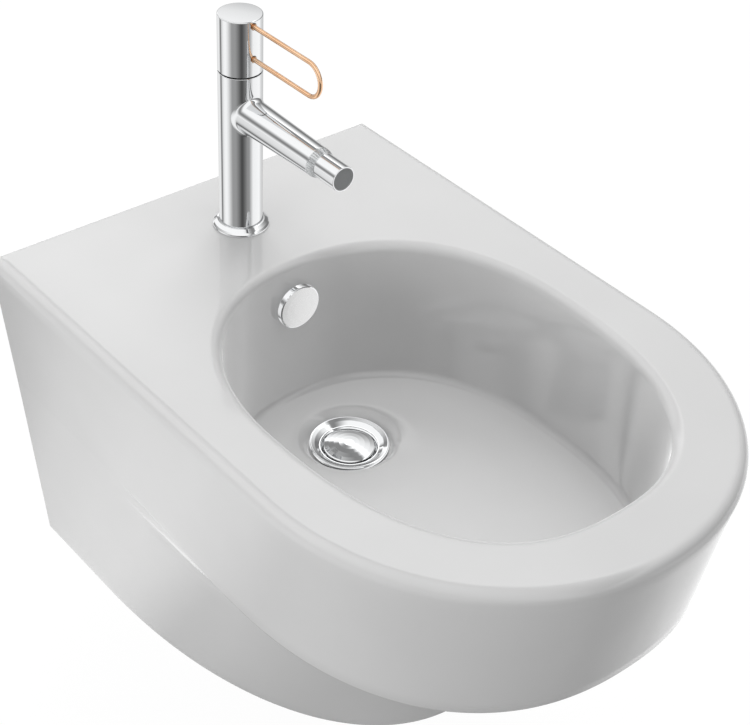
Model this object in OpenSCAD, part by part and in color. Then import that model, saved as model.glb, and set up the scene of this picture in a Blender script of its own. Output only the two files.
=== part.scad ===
// Wall-hung bidet: a hollow vitreous china bowl with a D-shaped rim and an egg-shaped basin,
// a single-lever mixer with a wire handle and a swivel nozzle, a push-open waste and a round overflow.
// Origin: middle of the two wall bolts on the back face. +Y points into the wall, -Y to the user, +Z up.

/* [China body] */
// Height of the flat deck above the wall bolts
deck_z = 80; // [70:1:100]
// Width across the straight sides at the deck
body_w = 365; // [345:1:385]
// Projection from the wall at the deck
body_len = 535; // [520:1:555]
// Length of the curved front end at the deck
nose_len = 194; // [180:1:215]
// Squareness of the curved front end at the deck, 2 is an ellipse
nose_pow = 2.06; // [2:0.02:2.4]
// Height of the bowl from the deck down to its lower edge
bowl_h = 125; // [115:1:135]
// How far the front of the bowl slopes back over its height
bowl_rake = 22.5; // [10:0.5:30]
// How far each side of the bowl slopes in over its height
bowl_draft = 5.2; // [2:0.2:8]
// Height of the whole body from the deck to the lower rim
body_h = 293; // [270:1:320]
// Width of the skirt at the lower rim
skirt_w = 311; // [290:1:330]
// Projection of the skirt at the lower rim
skirt_len = 366; // [330:1:390]
// Thickness of the china walls
china_t = 10; // [8:0.5:12]
// Thickness of the deck where the mixer stands
deck_t = 14; // [10:0.5:18]
// Thickness of the wall that bears on the building wall
back_t = 12; // [10:0.5:16]
// Radius of the outer rim edge
rim_r = 9; // [5:0.5:11]

/* [Basin] */
// Distance from the wall to the back edge of the basin opening
basin_back = 131.6; // [126:0.5:140]
// Length of the basin opening from back to front
basin_len = 356; // [335:1:362]
// Width of the basin opening
basin_w = 280; // [265:1:286]
// Share of the basin's length behind its widest place
basin_split = 0.453; // [0.42:0.005:0.5]
// Depth of the basin floor below the deck, at the waste
basin_depth = 124.5; // [115:0.5:130]
// Rise of the floor for each millimetre away from the waste towards the front
floor_slope = 0.04; // [0.02:0.005:0.05]
// Radius of the basin's upper edge
basin_edge_r = 7.8; // [5:0.2:10]
// Radius between the basin's wall and floor
floor_r = 6; // [4:0.5:9]

/* [Mixer] */
// Distance from the wall to the mixer's axis
tap_y = 69; // [62:0.5:72]
// Diameter of the mixer's body
tap_d = 34; // [33:0.5:37]
// Height of the joint between the body and the head above the deck
seam_h = 134.4; // [130:0.2:140]
// Height of the top of the head above the deck
tap_h = 180; // [178:0.5:190]
// Depth of the head's pivot below the joint
pivot_h = 12; // [11:0.5:13]
// Running gap between the body's ball-shaped top and the head
head_gap = 0.6; // [0.4:0.1:1]
// Diameter of the foot ring
foot_d = 44.4; // [43:0.2:50]
// Height of the foot ring
foot_h = 5.6; // [4.5:0.1:8]
// Diameter of the hole for the mixer in the deck
tap_hole_d = 35; // [34:0.5:36]

/* [Spout and nozzle] */
// Height of the spout's axis above the deck
spout_h = 101.5; // [99:0.1:103]
// Distance from the mixer's axis to the nozzle's end
spout_reach = 124.3; // [120:0.5:135]
// Diameter of the spout at its root
spout_root_d = 27.4; // [26:0.2:28.6]
// Diameter of the spout at its tip
spout_tip_d = 23; // [22.4:0.2:24]
// Diameter of the nozzle
nozzle_d = 19.6; // [18.8:0.2:20]
// Length of the nozzle from its back edge to its end
nozzle_len = 22.4; // [20:0.2:26]

/* [Handle] */
// Thickness of the handle's wire
wire_d = 3.5; // [3:0.1:4]
// Distance between the handle's two straight wires
wire_gap = 26; // [22:0.5:28]
// Depth of the upper wire below the top of the head
wire_drop = 4.5; // [4:0.5:6]
// Distance from the mixer's axis to the handle's outer end
wire_reach = 97; // [85:1:110]

/* [Waste and overflow] */
// Distance from the wall to the waste's axis
waste_y = 212.5; // [208:0.5:218]
// Diameter of the waste's flange
flange_d = 63; // [60:0.5:66]
// Depth of the flange's rim below the basin floor
flange_drop = 3.5; // [2.5:0.1:4]
// Outer diameter of the threaded tail
tail_d = 41.9; // [41.9:0.1:42.2]
// Length of the tail below the china boss
tail_free = 40; // [30:1:60]
// Diameter of the plug
plug_d = 40.7; // [40:0.1:41.2]
// Travel of the plug from open to shut
plug_travel = 6.5; // [5:0.1:7]
// Diameter of the overflow cap
cap_d = 36.8; // [34:0.2:40]
// Depth of the overflow's centre below the deck
overflow_depth = 37; // [35:0.5:42]
// Distance of the overflow cap's edge from the basin wall
cap_gap = 2; // [1.5:0.1:3]

/* [Wall fixing] */
// Distance between the two wall bolts
bolt_gap = 180; // [170:1:190]
// Diameter of the clearance hole in each bolt sleeve
bolt_hole_d = 13; // [12.5:0.1:14]
// Outer diameter of each bolt sleeve
sleeve_d = 21.8; // [20:0.2:24]

/* [Smoothness] */
// Columns of the china body across the back
back_cols = 16; // [12:2:20]
// Columns of the china body along each side
side_cols = 18; // [12:2:20]
// Columns of the china body round the front
nose_cols = 46; // [36:2:50]

/* [Hidden] */
$fn = 96;
eps = 0.01;

// Clearances
fit = 0.05;
slip = 0.15;
fix_gap = 0.3;

// Finishes
china = [0.86, 0.86, 0.85];
chrome_c = [0.80, 0.81, 0.82];
copper_c = [0.88, 0.60, 0.42];
brass_c = [0.78, 0.66, 0.40];
rubber_c = [0.10, 0.10, 0.10];
nylon_c = [0.92, 0.92, 0.90];
grey_c = [0.42, 0.42, 0.42];
steel_c = [0.62, 0.63, 0.64];

// China body: derived sizes
half_w = body_w / 2;
bowl_half = half_w - bowl_draft;
bowl_len = body_len - bowl_rake;
bowl_nose = nose_len + 14.5;
bowl_pow = nose_pow + 0.23;
skirt_half = skirt_w / 2;
side_lean = (half_w - skirt_half) / body_h;
skirt_nose = skirt_len * 0.765;
skirt_pow = 2.2;
knee_pow = 2.6;
skirt_lean = 0.11;
knee_h = bowl_h + 23;
knee_half = half_w - side_lean * knee_h;
knee_len = skirt_len + skirt_lean * (body_h - knee_h);
knee_nose = knee_len - skirt_len * 0.58;
merge_half = half_w - side_lean * bowl_h;
merge_from = 140;
merge_len = 160;
back_r = 2.5;
lower_r = 3;

// Basin: derived sizes
basin_half = basin_w / 2;
basin_rear = basin_len * basin_split;
basin_front = basin_len - basin_rear;
basin_c = -(basin_back + basin_rear);
rear_pow = 2.21;
front_pow = 2.48;
wall_draft = 2;
floor_in = basin_edge_r + wall_draft;
recess_r = flange_d / 2 + 8;
boss_r = flange_d / 2 + 6.5;
waste_hole_r = tail_d / 2 + 2.55;
boss_drop = 41.5;
flange_z = deck_z - basin_depth - flange_drop;
seat_z = flange_z - 5;
boss_z = seat_z - boss_drop;

// Heights that several parts share
seam_z = deck_z + seam_h;
pivot_z = seam_z - pivot_h;
tap_r = tap_d / 2;
dome_r = sqrt(tap_r * tap_r + pivot_h * pivot_h);
hole_r = tap_hole_d / 2;

// Overflow channel behind the basin wall
duct_w = 48;
duct_in = 30;
duct_back = basin_back + basin_edge_r - china_t - 19;
duct_low = boss_z + 13;
bush_r = 9.9;
wall_y = basin_back + basin_edge_r + wall_draft * overflow_depth / basin_depth;

// Foot ring, inlets and fixing of the mixer
foot_plate = 2.5;
foot_in = 14;
seal_in = foot_d / 2 - 3.6;
seal_out = foot_d / 2 - 1.6;
inlet_r = 4.5;
inlet_x = 6.5;
inlet_y = 3.5;
stud_y = -8;
stud_r = 4;
stud_in = 19;
clamp_r = hole_r + 5;
rubber_t = 3;
plate_t = 2.5;
nut_h = 16;
under_z = deck_z - deck_t;

// Cartridge, stem and head
cup_r = tap_r - 4.1;
cup_drop = 34;
nut_drop = 8;
nut_r = tap_r - 2.5;
carrier_r = cup_r - 2 - slip;
blade_w = 6;
pin_r = 1.5;
stem_r = 4;
neck_r = 11.5;
stem_top = 28;
wire_r = wire_d / 2;
wire_top = deck_z + tap_h - wire_drop;
wire_in = 8;
screw_z = seam_z + 18;
screw_r = 2.5;

// Swivel nozzle: ball centre, ball-shaped collar front and the socket in the spout
ball_r = 7.9;
face_r = sqrt(pow(spout_tip_d / 2, 2) + 1);
nozzle_back = sqrt(pow(face_r + 0.4, 2) - pow(nozzle_d / 2, 2));
ball_y = -tap_y - spout_reach + nozzle_len + nozzle_back;
socket_r = spout_tip_d / 2 - 1.2;

// Waste: throat, ledge, bore, the tail's size under its nut, and lengths
throat_r = plug_d / 2 + 0.65;
bore_r = tail_d / 2 - 2.65;
neck_tail_r = tail_d / 2 - 0.6;
ledge = 14;
nut_under = 17;
tail_z = boss_z - tail_free;
plug_up = ledge - plug_travel - 2.1;
stem_len = 34;

function mix(a, b, s) = a + (b - a) * s;
function ease(t) = let (u = max(0, min(1, t))) u * u * (3 - 2 * u);
function floor_z(y) = deck_z - basin_depth + floor_slope * (-waste_y - y);

// Share of the bowl's own edge at a distance from the wall: the skirt's side runs into it near the wall.
function apart(y) = ease((-y - merge_from) / merge_len);

// Flat-backed outline with straight sides and a super-ellipse nose, anticlockwise from above.
function d_ring(half, len, nose, p, back, z) = let (ys = -(len - nose)) concat(
    [for (k = [0 : back_cols - 1]) [half * (1 - 2 * k / back_cols), back, z]],
    [for (k = [0 : side_cols - 1]) [-half, mix(back, ys, k / side_cols), z]],
    [for (k = [0 : nose_cols - 1]) let (t = 180 * k / nose_cols, c = cos(t), s = sin(t))
        [-half * sign(c) * pow(abs(c), 2 / p), ys - nose * pow(s, 2 / p), z]],
    [for (k = [0 : side_cols - 1]) [half, mix(ys, back, k / side_cols), z]]);

// Rim outline, and the bowl's lower edge with a rounding, which fades where the skirt runs into it.
function rim_ring(o, back, z) = d_ring(half_w - o, body_len - o, nose_len - o, nose_pow, back, z);
function edge_ring(o, back, z, r = 0) = let (q = o + r, k = (merge_half - o) / (bowl_half - q))
    [for (p = d_ring(bowl_half - q, bowl_len - q, bowl_nose - q, bowl_pow, back, z))
        [p.x * mix(k, 1, apart(p.y)), p.y, z]];
function bowl_ring(o, back, d) = let (s = (d - rim_r) / (bowl_h - rim_r), a = rim_ring(o, back, 0),
    b = edge_ring(o, back, 0))
    [for (i = [0 : len(a) - 1]) let (q = mix(a[i], b[i], s)) [q.x, q.y, deck_z - d]];
function skirt_ring(o, back, d) = let (s = (d - knee_h) / (body_h - knee_h))
    d_ring(mix(knee_half, skirt_half, s) - o, mix(knee_len, skirt_len, s) - o,
        mix(knee_nose, skirt_nose, s) - o, mix(knee_pow, skirt_pow, s), back, deck_z - d);

// Egg outline of the basin, one point on the ray through each point of the rim outline.
rays = [for (p = rim_ring(0, 0, 0)) atan2(p.y - basin_c, p.x)];
function egg_r(t, o) = let (n = sin(t) >= 0 ? rear_pow : front_pow,
    b = (sin(t) >= 0 ? basin_rear : basin_front) - o)
    pow(pow(abs(cos(t)) / (basin_half - o), n) + pow(abs(sin(t)) / b, n), -1 / n);
function egg_ring(o, z) = [for (t = rays) [egg_r(t, o) * cos(t), basin_c + egg_r(t, o) * sin(t), z]];
function on_floor(ring, up) = [for (p = ring) [p.x, p.y, floor_z(p.y) + up]];
function waste_ring(r, z) = let (f = egg_ring(floor_in + floor_r, 0))
    [for (p = f) let (v = [p.x, p.y + waste_y], m = norm(v)) [r * v.x / m, -waste_y + r * v.y / m, z]];

// Closed skin over rings that share their number of points. Both end faces start at the tip of the nose.
module loft(rings) {
    n = len(rings[0]);
    m = len(rings);
    tip = back_cols + side_cols + nose_cols / 2;
    polyhedron(points = [for (r = rings) each r], faces = concat(
        [[for (i = [0 : n - 1]) (i + tip) % n]],
        [for (j = [0 : m - 2], i = [0 : n - 1]) [j * n + i, (j + 1) * n + i, (j + 1) * n + (i + 1) % n]],
        [for (j = [0 : m - 2], i = [0 : n - 1]) [j * n + i, (j + 1) * n + (i + 1) % n, j * n + (i + 1) % n]],
        [[for (i = [0 : n - 1]) (m - 1) * n + (n + tip - i) % n]]), convexity = 8);
}

// Closed skin over a ring of sections: the rings follow one another and the last meets the first.
module ring_loft(rings) {
    n = len(rings[0]);
    m = len(rings);
    polyhedron(points = [for (r = rings) each r], faces = concat(
        [for (j = [0 : m - 1], i = [0 : n - 1]) let (k = (j + 1) % m)
            [j * n + i, k * n + i, k * n + (i + 1) % n]],
        [for (j = [0 : m - 1], i = [0 : n - 1]) let (k = (j + 1) % m)
            [j * n + i, k * n + (i + 1) % n, j * n + (i + 1) % n]]), convexity = 8);
}

function arc_in(r, a) = r * (1 - cos(a));
function arc_up(r, a) = r * (1 - sin(a));

// Outer skin with the basin, from the lower rim up, over the deck and down to the waste's seat.
module china_solid() {
    s = skirt_ring(0, 0, knee_h);
    e = edge_ring(0, 0, deck_z - bowl_h, lower_r);
    under = [[0.015, 5], [0.07, 9], [0.3, 13]];
    rise = knee_h - bowl_h;
    floor_edge = on_floor(egg_ring(floor_in + floor_r, 0), 0);
    dish = on_floor(waste_ring(recess_r, 0), 0);
    loft(concat(
        [skirt_ring(lower_r, 0, body_h), skirt_ring(lower_r * 0.3, 0, body_h - lower_r * 0.3),
            skirt_ring(0, 0, body_h - lower_r), skirt_ring(0, 0, (body_h + knee_h) / 2), s],
        [for (u = under) [for (i = [0 : len(s) - 1]) let (w = mix(u[1] / rise, u[0], apart(e[i].y)),
            q = mix(s[i], e[i], w)) [q.x, q.y, s[i].z + u[1]]]],
        [e, edge_ring(0, 0, deck_z - bowl_h + lower_r * 0.3, lower_r * 0.3)],
        [bowl_ring(0, 0, bowl_h - lower_r)],
        [bowl_ring(0, 0, bowl_h / 2), bowl_ring(0, 0, rim_r)],
        [for (a = [67.5, 45, 22.5, 0])
            rim_ring(arc_up(rim_r, a), -arc_up(back_r, a), deck_z - arc_in(rim_r, a))],
        [for (a = [0, 22.5, 45, 67.5, 90])
            egg_ring(basin_edge_r * sin(a), deck_z - arc_in(basin_edge_r, a))],
        [egg_ring(basin_edge_r + wall_draft / 2, deck_z - basin_depth / 2)],
        [on_floor(egg_ring(floor_in, 0), floor_r)],
        [for (a = [30, 60]) on_floor(egg_ring(floor_in + arc_in(floor_r, a), 0), arc_up(floor_r, a))],
        [floor_edge],
        [[for (i = [0 : len(dish) - 1]) mix(floor_edge[i], dish[i], 0.5)]],
        [dish, waste_ring(recess_r - 2.5, flange_z + 2.2), waste_ring(recess_r - 5.5, flange_z - 1.6),
            waste_ring(flange_d / 2 + 1, seat_z), waste_ring(waste_hole_r - 4, seat_z)]));
}

// Hollow inside the skirt, open below, with a flat top under the basin floor.
module skirt_void() {
    top = [for (p = skirt_ring(china_t, -back_t, knee_h)) [p.x, p.y, floor_z(p.y) - china_t]];
    cap = [for (p = skirt_ring(china_t + 8, -back_t - 8, knee_h)) [p.x, p.y, floor_z(p.y) - china_t]];
    loft([skirt_ring(china_t, -back_t, body_h + 1), skirt_ring(china_t, -back_t, knee_h),
        [for (p = top) [p.x, p.y, p.z - 8]],
        [for (i = [0 : len(top) - 1]) let (q = mix(top[i], cap[i], 0.3)) [q.x, q.y, top[i].z - 2.4]], cap]);
}

// Hollow between the outer wall and the basin wall. At the back it drops into the skirt.
module rim_void() {
    back = -back_t - 0.5;
    w_out = egg_ring(basin_edge_r - china_t, 0);
    low = [for (p = w_out) mix(deck_z - bowl_h + china_t, deck_z - knee_h - 12, ease((p.y + 185) / 45))];
    top_z = deck_z - deck_t;
    o_top = bowl_ring(china_t, back, deck_t + 7);
    o_low = bowl_ring(china_t, back, bowl_h - china_t);
    w_in = egg_ring(basin_edge_r - china_t - 7, 0);
    n = len(low);
    side = [for (i = [0 : n - 1]) let (f = ease((w_out[i].y + 185) / 45)) mix(1, 0.965, f)];
    ring_loft([
        [for (i = [0 : n - 1]) [o_low[i].x * side[i], o_low[i].y, low[i] + 7]],
        o_top,
        [for (i = [0 : n - 1]) let (q = mix(o_top[i], w_in[i], 0.3)) [q.x, q.y, top_z]],
        [for (i = [0 : n - 1]) let (q = mix(o_top[i], w_in[i], 0.9)) [q.x, q.y, top_z]],
        [for (p = w_out) [p.x, p.y, top_z - 7]],
        [for (i = [0 : n - 1]) [w_out[i].x, w_out[i].y, low[i] + 7]],
        [for (i = [0 : n - 1]) let (q = mix(w_out[i], o_low[i], 0.25)) [q.x * side[i], q.y, low[i]]],
        [for (i = [0 : n - 1]) let (q = mix(w_out[i], o_low[i], 0.75)) [q.x * side[i], q.y, low[i]]]]);
}

// Overflow channel: cast duct behind the basin wall and under its floor, into the side of the waste hole.
module duct(w, t, top) {
    translate([-w / 2, -(basin_back + basin_edge_r) + 4 + t, duct_low + t])
        cube([w, basin_back + basin_edge_r - 4 - duct_back - 2 * t, top - duct_low - t]);
    translate([-w / 2, -waste_y, duct_low + t])
        cube([w, waste_y - duct_back - t, seat_z - 1 - duct_low - 2 * t]);
}

module china_body() {
    color(china) difference() {
        china_solid();
        difference() {
            union() {
                skirt_void();
                rim_void();
            }
            duct(duct_w, 0, under_z + 1);
            translate([0, -waste_y, boss_z]) cylinder(r = boss_r, h = seat_z - boss_z);
        }
        duct(duct_in, 7, deck_z - overflow_depth + 13);
        translate([0, -tap_y, deck_z - deck_t - 1]) cylinder(r = hole_r, h = deck_t + 2);
        translate([0, -waste_y, boss_z - 1]) cylinder(r = waste_hole_r, h = boss_drop + 2);
        translate([0, -basin_back - 20, deck_z - overflow_depth]) rotate([-90, 0, 0])
            cylinder(r = bush_r + fit, h = 28);
        for (sx = [-1, 1]) translate([sx * bolt_gap / 2, -back_t - 2, 0]) rotate([-90, 0, 0])
            cylinder(d = sleeve_d + 2 * fit, h = back_t + 4);
        translate([0, -back_t - 1, 0]) rotate([-90, 0, 0]) linear_extrude(back_t + 2) pipe_opening();
    }
}

// Opening in the back for the pipes, drawn with its depth below the bolts as Y.
module pipe_opening() {
    half = 78;
    r = 18;
    top = boss_z + 8;
    low = deck_z - body_h - 1;
    polygon(concat([[-half, -low], [half, -low]],
        [for (a = [0 : 15 : 90]) [half - r + r * cos(a), -top + r - r * sin(a)]],
        [for (a = [90 : 15 : 180]) [-half + r + r * cos(a), -top + r - r * sin(a)]]));
}

module tube(ro, ri, h) {
    difference() {
        cylinder(r = ro, h = h);
        translate([0, 0, -1]) cylinder(r = ri, h = h + 2);
    }
}

module at_tap(h) {
    translate([0, -tap_y, h]) children();
}

// Frame with +Z along the spout, its zero at the swivel ball's centre.
module at_ball() {
    translate([0, ball_y, deck_z + spout_h]) rotate([90, 0, 0]) children();
}

module wall_sleeves() {
    flange = 3;
    color(nylon_c) for (sx = [-1, 1]) translate([sx * bolt_gap / 2, 0, 0]) rotate([90, 0, 0]) difference() {
        union() {
            cylinder(d = sleeve_d, h = back_t + 0.5 + flange);
            translate([0, 0, back_t + 0.5]) cylinder(d = sleeve_d + 11, h = flange);
        }
        translate([0, 0, -1]) cylinder(d = bolt_hole_d, h = back_t + flange + 3);
    }
}

// Foot ring: carries the body, centres it in the hole and holds the seal under it.
module foot_ring() {
    r = foot_d / 2;
    color(chrome_c) at_tap(deck_z) rotate_extrude() difference() {
        polygon([[foot_in, -4], [hole_r - fix_gap, -4], [hole_r - fix_gap, 0], [r - 0.5, 0], [r, 0.6],
            [r, 1.8], [r - 0.6, 2.9], [r - 2.2, 4.1], [tap_r + 1.2, foot_h - 0.3], [tap_r + fit, foot_h],
            [tap_r + fit, foot_plate], [foot_in, foot_plate]]);
        translate([seal_in - fit, -1]) square([seal_out - seal_in + 2 * fit, 2.6]);
    }
}

module foot_seal() {
    color(rubber_c) at_tap(deck_z) rotate_extrude() translate([seal_in, 0])
        square([seal_out - seal_in, 1.6]);
}

// Mixer body: column and spout in one casting, bored for the cartridge, the inlets and the waterway.
module tap_body() {
    color(chrome_c) difference() {
        union() {
            at_tap(deck_z + foot_plate) cylinder(r = tap_r, h = seam_h - foot_plate);
            translate([0, -tap_y, deck_z + spout_h]) rotate([90, 0, 0]) rotate_extrude() polygon([[0, 0],
                [spout_root_d / 2, 0], [spout_root_d / 2, tap_r * 0.7],
                [spout_tip_d / 2, -tap_y - ball_y + 0.5], [0, -tap_y - ball_y + 0.5]]);
        }
        at_tap(seam_z - cup_drop) cylinder(r = cup_r + fit, h = cup_drop - nut_drop + eps);
        at_tap(seam_z - nut_drop - 1) cylinder(r = nut_r + fit, h = nut_drop + 2);
        at_ball() translate([0, 0, -13]) cylinder(r = ball_r + 0.4, h = 20);
        at_ball() translate([0, 0, -5.5]) cylinder(r = socket_r + fit, h = 12);
        at_ball() translate([0, 0, -(-tap_y - ball_y) + 11]) cylinder(r = 5, h = -tap_y - ball_y - 20);
        for (sx = [-1, 1]) translate([sx * inlet_x, -tap_y + inlet_y, deck_z]) {
            cylinder(r = inlet_r, h = 18);
            cylinder(r = 2.5, h = seam_h - cup_drop + 1);
        }
        translate([0, -tap_y + stud_y, deck_z]) cylinder(r = stud_r + fit, h = stud_in + 1);
    }
}

// Cartridge: a cup with the fixed discs, and a carrier that turns in it.
module cartridge_cup() {
    color(nylon_c) at_tap(seam_z - cup_drop) difference() {
        cylinder(r = cup_r, h = cup_drop - nut_drop);
        translate([0, 0, 3]) cylinder(r = cup_r - 2, h = cup_drop);
        for (sx = [-1, 1]) translate([sx * inlet_x, inlet_y, -1]) cylinder(r = 2.5, h = 6);
        translate([0, 0, 1]) rotate([90, 0, 0]) cylinder(r = 2.4, h = 20);
    }
}

module cartridge_discs() {
    color(china) at_tap(seam_z - cup_drop + 3) difference() {
        cylinder(r = cup_r - 2.1, h = 4.5);
        for (sx = [-1, 1]) translate([sx * inlet_x, inlet_y, -1]) cylinder(r = 2.2, h = 6);
        translate([0, -5, -1]) cylinder(r = 2.6, h = 6);
    }
}

module cartridge_carrier() {
    low = cup_drop - 7.5 - slip;
    color(grey_c) at_tap(seam_z - low) difference() {
        cylinder(r = carrier_r, h = low - nut_drop);
        translate([-4.3, -8.8, 2.5]) cube([8.6, 17.6, low]);
        translate([-carrier_r - 1, 0, low - pivot_h]) rotate([0, 90, 0])
            cylinder(r = pin_r, h = 2 * carrier_r + 2);
    }
}

module pivot_pin() {
    len = 2 * (carrier_r - 1.6);
    color(steel_c) at_tap(pivot_z) translate([-len / 2, 0, 0]) rotate([0, 90, 0])
        cylinder(r = pin_r, h = len);
}

// Nut with a ball-shaped top that holds the cartridge and carries the look of the joint.
module dome_nut() {
    a0 = asin(neck_r / dome_r);
    a1 = asin(nut_r / dome_r);
    color(chrome_c) at_tap(pivot_z) rotate_extrude() polygon(concat(
        [[neck_r, pivot_h - nut_drop], [nut_r, pivot_h - nut_drop]],
        [for (k = [0 : 8]) let (a = mix(a1, a0, k / 8)) [dome_r * sin(a), dome_r * cos(a)]]));
}

// Stem: a blade below the pivot that shifts the discs, a round shank above it that carries the head.
module lever_stem() {
    color(brass_c) at_tap(pivot_z) difference() {
        union() {
            cylinder(r = stem_r, h = pivot_h + stem_top);
            translate([-stem_r, -blade_w / 2, -11]) cube([2 * stem_r, blade_w, 12]);
            translate([-stem_r, 0, 0]) rotate([0, 90, 0]) cylinder(r = stem_r, h = 2 * stem_r);
        }
        translate([-6, 0, 0]) rotate([0, 90, 0]) cylinder(r = pin_r + fit, h = 12);
    }
}

module tap_head() {
    top = deck_z + tap_h - pivot_z;
    rim = sqrt(pow(dome_r + head_gap, 2) - tap_r * tap_r);
    color(chrome_c) difference() {
        at_tap(pivot_z) rotate_extrude() difference() {
            polygon([[0, 0], [tap_r, rim], [tap_r, top - 0.8], [tap_r - 0.25, top - 0.25],
                [tap_r - 0.8, top], [0, top]]);
            circle(r = dome_r + head_gap);
            square([stem_r + fit, pivot_h + stem_top + 0.5]);
        }
        for (z = [wire_top, wire_top - wire_gap]) translate([0, -tap_y - wire_in, z]) rotate([90, 0, 0])
            cylinder(r = wire_r + fit, h = tap_r);
        translate([0, -tap_y + stem_r - 1, screw_z]) rotate([-90, 0, 0])
            cylinder(r = screw_r + fit, h = tap_r);
    }
}

module grub_screw() {
    color(steel_c) translate([0, -tap_y + stem_r, screw_z]) rotate([-90, 0, 0]) difference() {
        cylinder(r = screw_r, h = tap_r - stem_r - 1.5);
        translate([0, 0, tap_r - stem_r - 4]) cylinder(r = 1.4, h = 4, $fn = 6);
    }
}

// Handle: one wire bent to a long U in the upright plane.
module wire_handle() {
    bend = wire_gap / 2;
    bend_y = wire_reach - wire_r - bend;
    color(copper_c) {
        for (z = [wire_top, wire_top - wire_gap]) translate([0, -tap_y - wire_in, z]) rotate([90, 0, 0])
            cylinder(r = wire_r, h = bend_y - wire_in);
        translate([0, -tap_y - bend_y, wire_top - bend]) rotate([0, -90, 0]) rotate([0, 0, 180])
            rotate_extrude(angle = 180) translate([bend, 0]) circle(r = wire_r);
    }
}

// Collar: screws into the spout's tip, keeps the ball in and shows a ball-shaped front with fine flutes.
module spout_collar() {
    r = spout_tip_d / 2;
    mouth = ball_r - 0.3;
    a0 = asin(r / face_r);
    a1 = asin(mouth / face_r);
    color(grey_c) at_ball() difference() {
        rotate_extrude() difference() {
            polygon(concat([[mouth - 0.6, -5], [socket_r, -5], [socket_r, 0.5], [r, 0.5]],
                [for (k = [0 : 6]) let (a = mix(a0, a1, k / 6)) [face_r * sin(a), face_r * cos(a)]],
                [[mouth - 0.6, 3]]));
            circle(r = ball_r + slip);
            translate([0, -6]) square([ball_r + slip, 6]);
        }
        for (k = [0 : 23]) rotate([0, 0, 15 * k]) translate([r + 0.35, 0, 1.2])
            cylinder(r = 0.7, h = 2, $fn = 24);
    }
}

module swivel_seat() {
    color(nylon_c) at_ball() translate([0, 0, -12]) difference() {
        cylinder(r = ball_r - fit, h = 9);
        translate([0, 0, -1]) cylinder(r = 4.5, h = 14);
        translate([0, 0, 12]) sphere(r = ball_r + slip);
    }
}

// Nozzle: a hollow ball with a neck and a cup, whose back follows the collar's front.
module nozzle() {
    end = nozzle_back + nozzle_len;
    color(chrome_c) at_ball() difference() {
        union() {
            sphere(r = ball_r);
            cylinder(r = 4.4, h = 16);
            rotate_extrude() difference() {
                polygon([[0, 0], [nozzle_d / 2, nozzle_back - 3], [nozzle_d / 2, end - 0.4],
                    [nozzle_d / 2 - 0.4, end], [0, end]]);
                circle(r = face_r + 0.4);
            }
        }
        translate([0, 0, -ball_r - 1]) cylinder(r = 3.2, h = 30);
        translate([0, 0, 15]) cylinder(r = nozzle_d / 2 - 1.1, h = 30);
    }
}

module aerator() {
    end = nozzle_back + nozzle_len;
    r = nozzle_d / 2 - 1.1 - fit;
    color(grey_c) at_ball() translate([0, 0, end - 8.5]) difference() {
        cylinder(r = r, h = 8);
        translate([0, 0, -1]) cylinder(r = r - 1.5, h = 8);
        for (ring = [[1, 0], [6, 2.2], [12, 4.4]]) for (k = [0 : ring[0] - 1])
            rotate([0, 0, 360 * k / ring[0]]) translate([ring[1], 0, 6]) cylinder(r = 0.6, h = 3, $fn = 16);
    }
}

// Fixing under the deck: a stud, a horseshoe of rubber and one of steel, and a long nut.
module horseshoe(t) {
    difference() {
        cylinder(r = clamp_r, h = t);
        translate([-hole_r * 0.68, -3, -1]) cube([hole_r * 1.36, clamp_r + 4, t + 2]);
        translate([0, stud_y, -1]) cylinder(r = stud_r + slip, h = t + 2);
    }
}

module tap_stud() {
    low = under_z - rubber_t - plate_t - nut_h * 1.875;
    color(brass_c) translate([0, -tap_y + stud_y, low]) cylinder(r = stud_r, h = deck_z + stud_in - low);
}

module clamp_rubber() {
    color(rubber_c) at_tap(under_z - rubber_t) horseshoe(rubber_t);
}

module clamp_plate() {
    color(steel_c) at_tap(under_z - rubber_t - plate_t) horseshoe(plate_t);
}

module stud_nut() {
    color(brass_c) translate([0, -tap_y + stud_y, under_z - rubber_t - plate_t - nut_h]) difference() {
        cylinder(r = 6.4, h = nut_h, $fn = 6);
        translate([0, 0, -1]) cylinder(r = stud_r + fit / 2, h = nut_h + 2);
    }
}

module at_waste(z) {
    translate([0, -waste_y, z]) children();
}

// Waste: a dished flange, a throat with a ledge for the plug, and a threaded tail with overflow windows.
module waste_flange() {
    r = flange_d / 2;
    neck = waste_hole_r - 0.7;
    thread = tail_d / 2;
    deep = flange_z - tail_z;
    nut_low = flange_z - boss_z + nut_under;
    color(chrome_c) at_waste(flange_z) difference() {
        rotate_extrude() polygon([[bore_r, -deep], [thread, -deep], [thread, -nut_low],
            [neck_tail_r, -nut_low], [neck_tail_r, -16], [neck, -14], [neck, -3.5],
            [r - 1, -3.5], [r, -1.3], [r - 0.1, -0.6], [r - 0.6, -0.1], [r - 1.3, 0], [r - 2.6, -0.25],
            [r - 4.2, -0.9], [r - 6, -1.9], [r - 7.6, -3.1], [throat_r + 0.9, -4.6], [throat_r + 0.25, -6.4],
            [throat_r, -8.5], [throat_r, -ledge], [bore_r, -ledge - 1]]);
        for (a = [0, 90]) rotate([0, 0, a]) translate([-5, -tail_d, -28]) cube([10, 2 * tail_d, 9]);
    }
}

module flange_seal() {
    color(rubber_c) at_waste(seat_z) tube(flange_d / 2 - 1.5, waste_hole_r + 0.4, 1.5);
}

module cone_seal() {
    r = waste_hole_r + 5;
    color(rubber_c) at_waste(boss_z - 7) rotate_extrude()
        polygon([[neck_tail_r + fit, 0], [r, 0], [r, 4], [r - 3, 7], [neck_tail_r + fit, 7]]);
}

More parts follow.
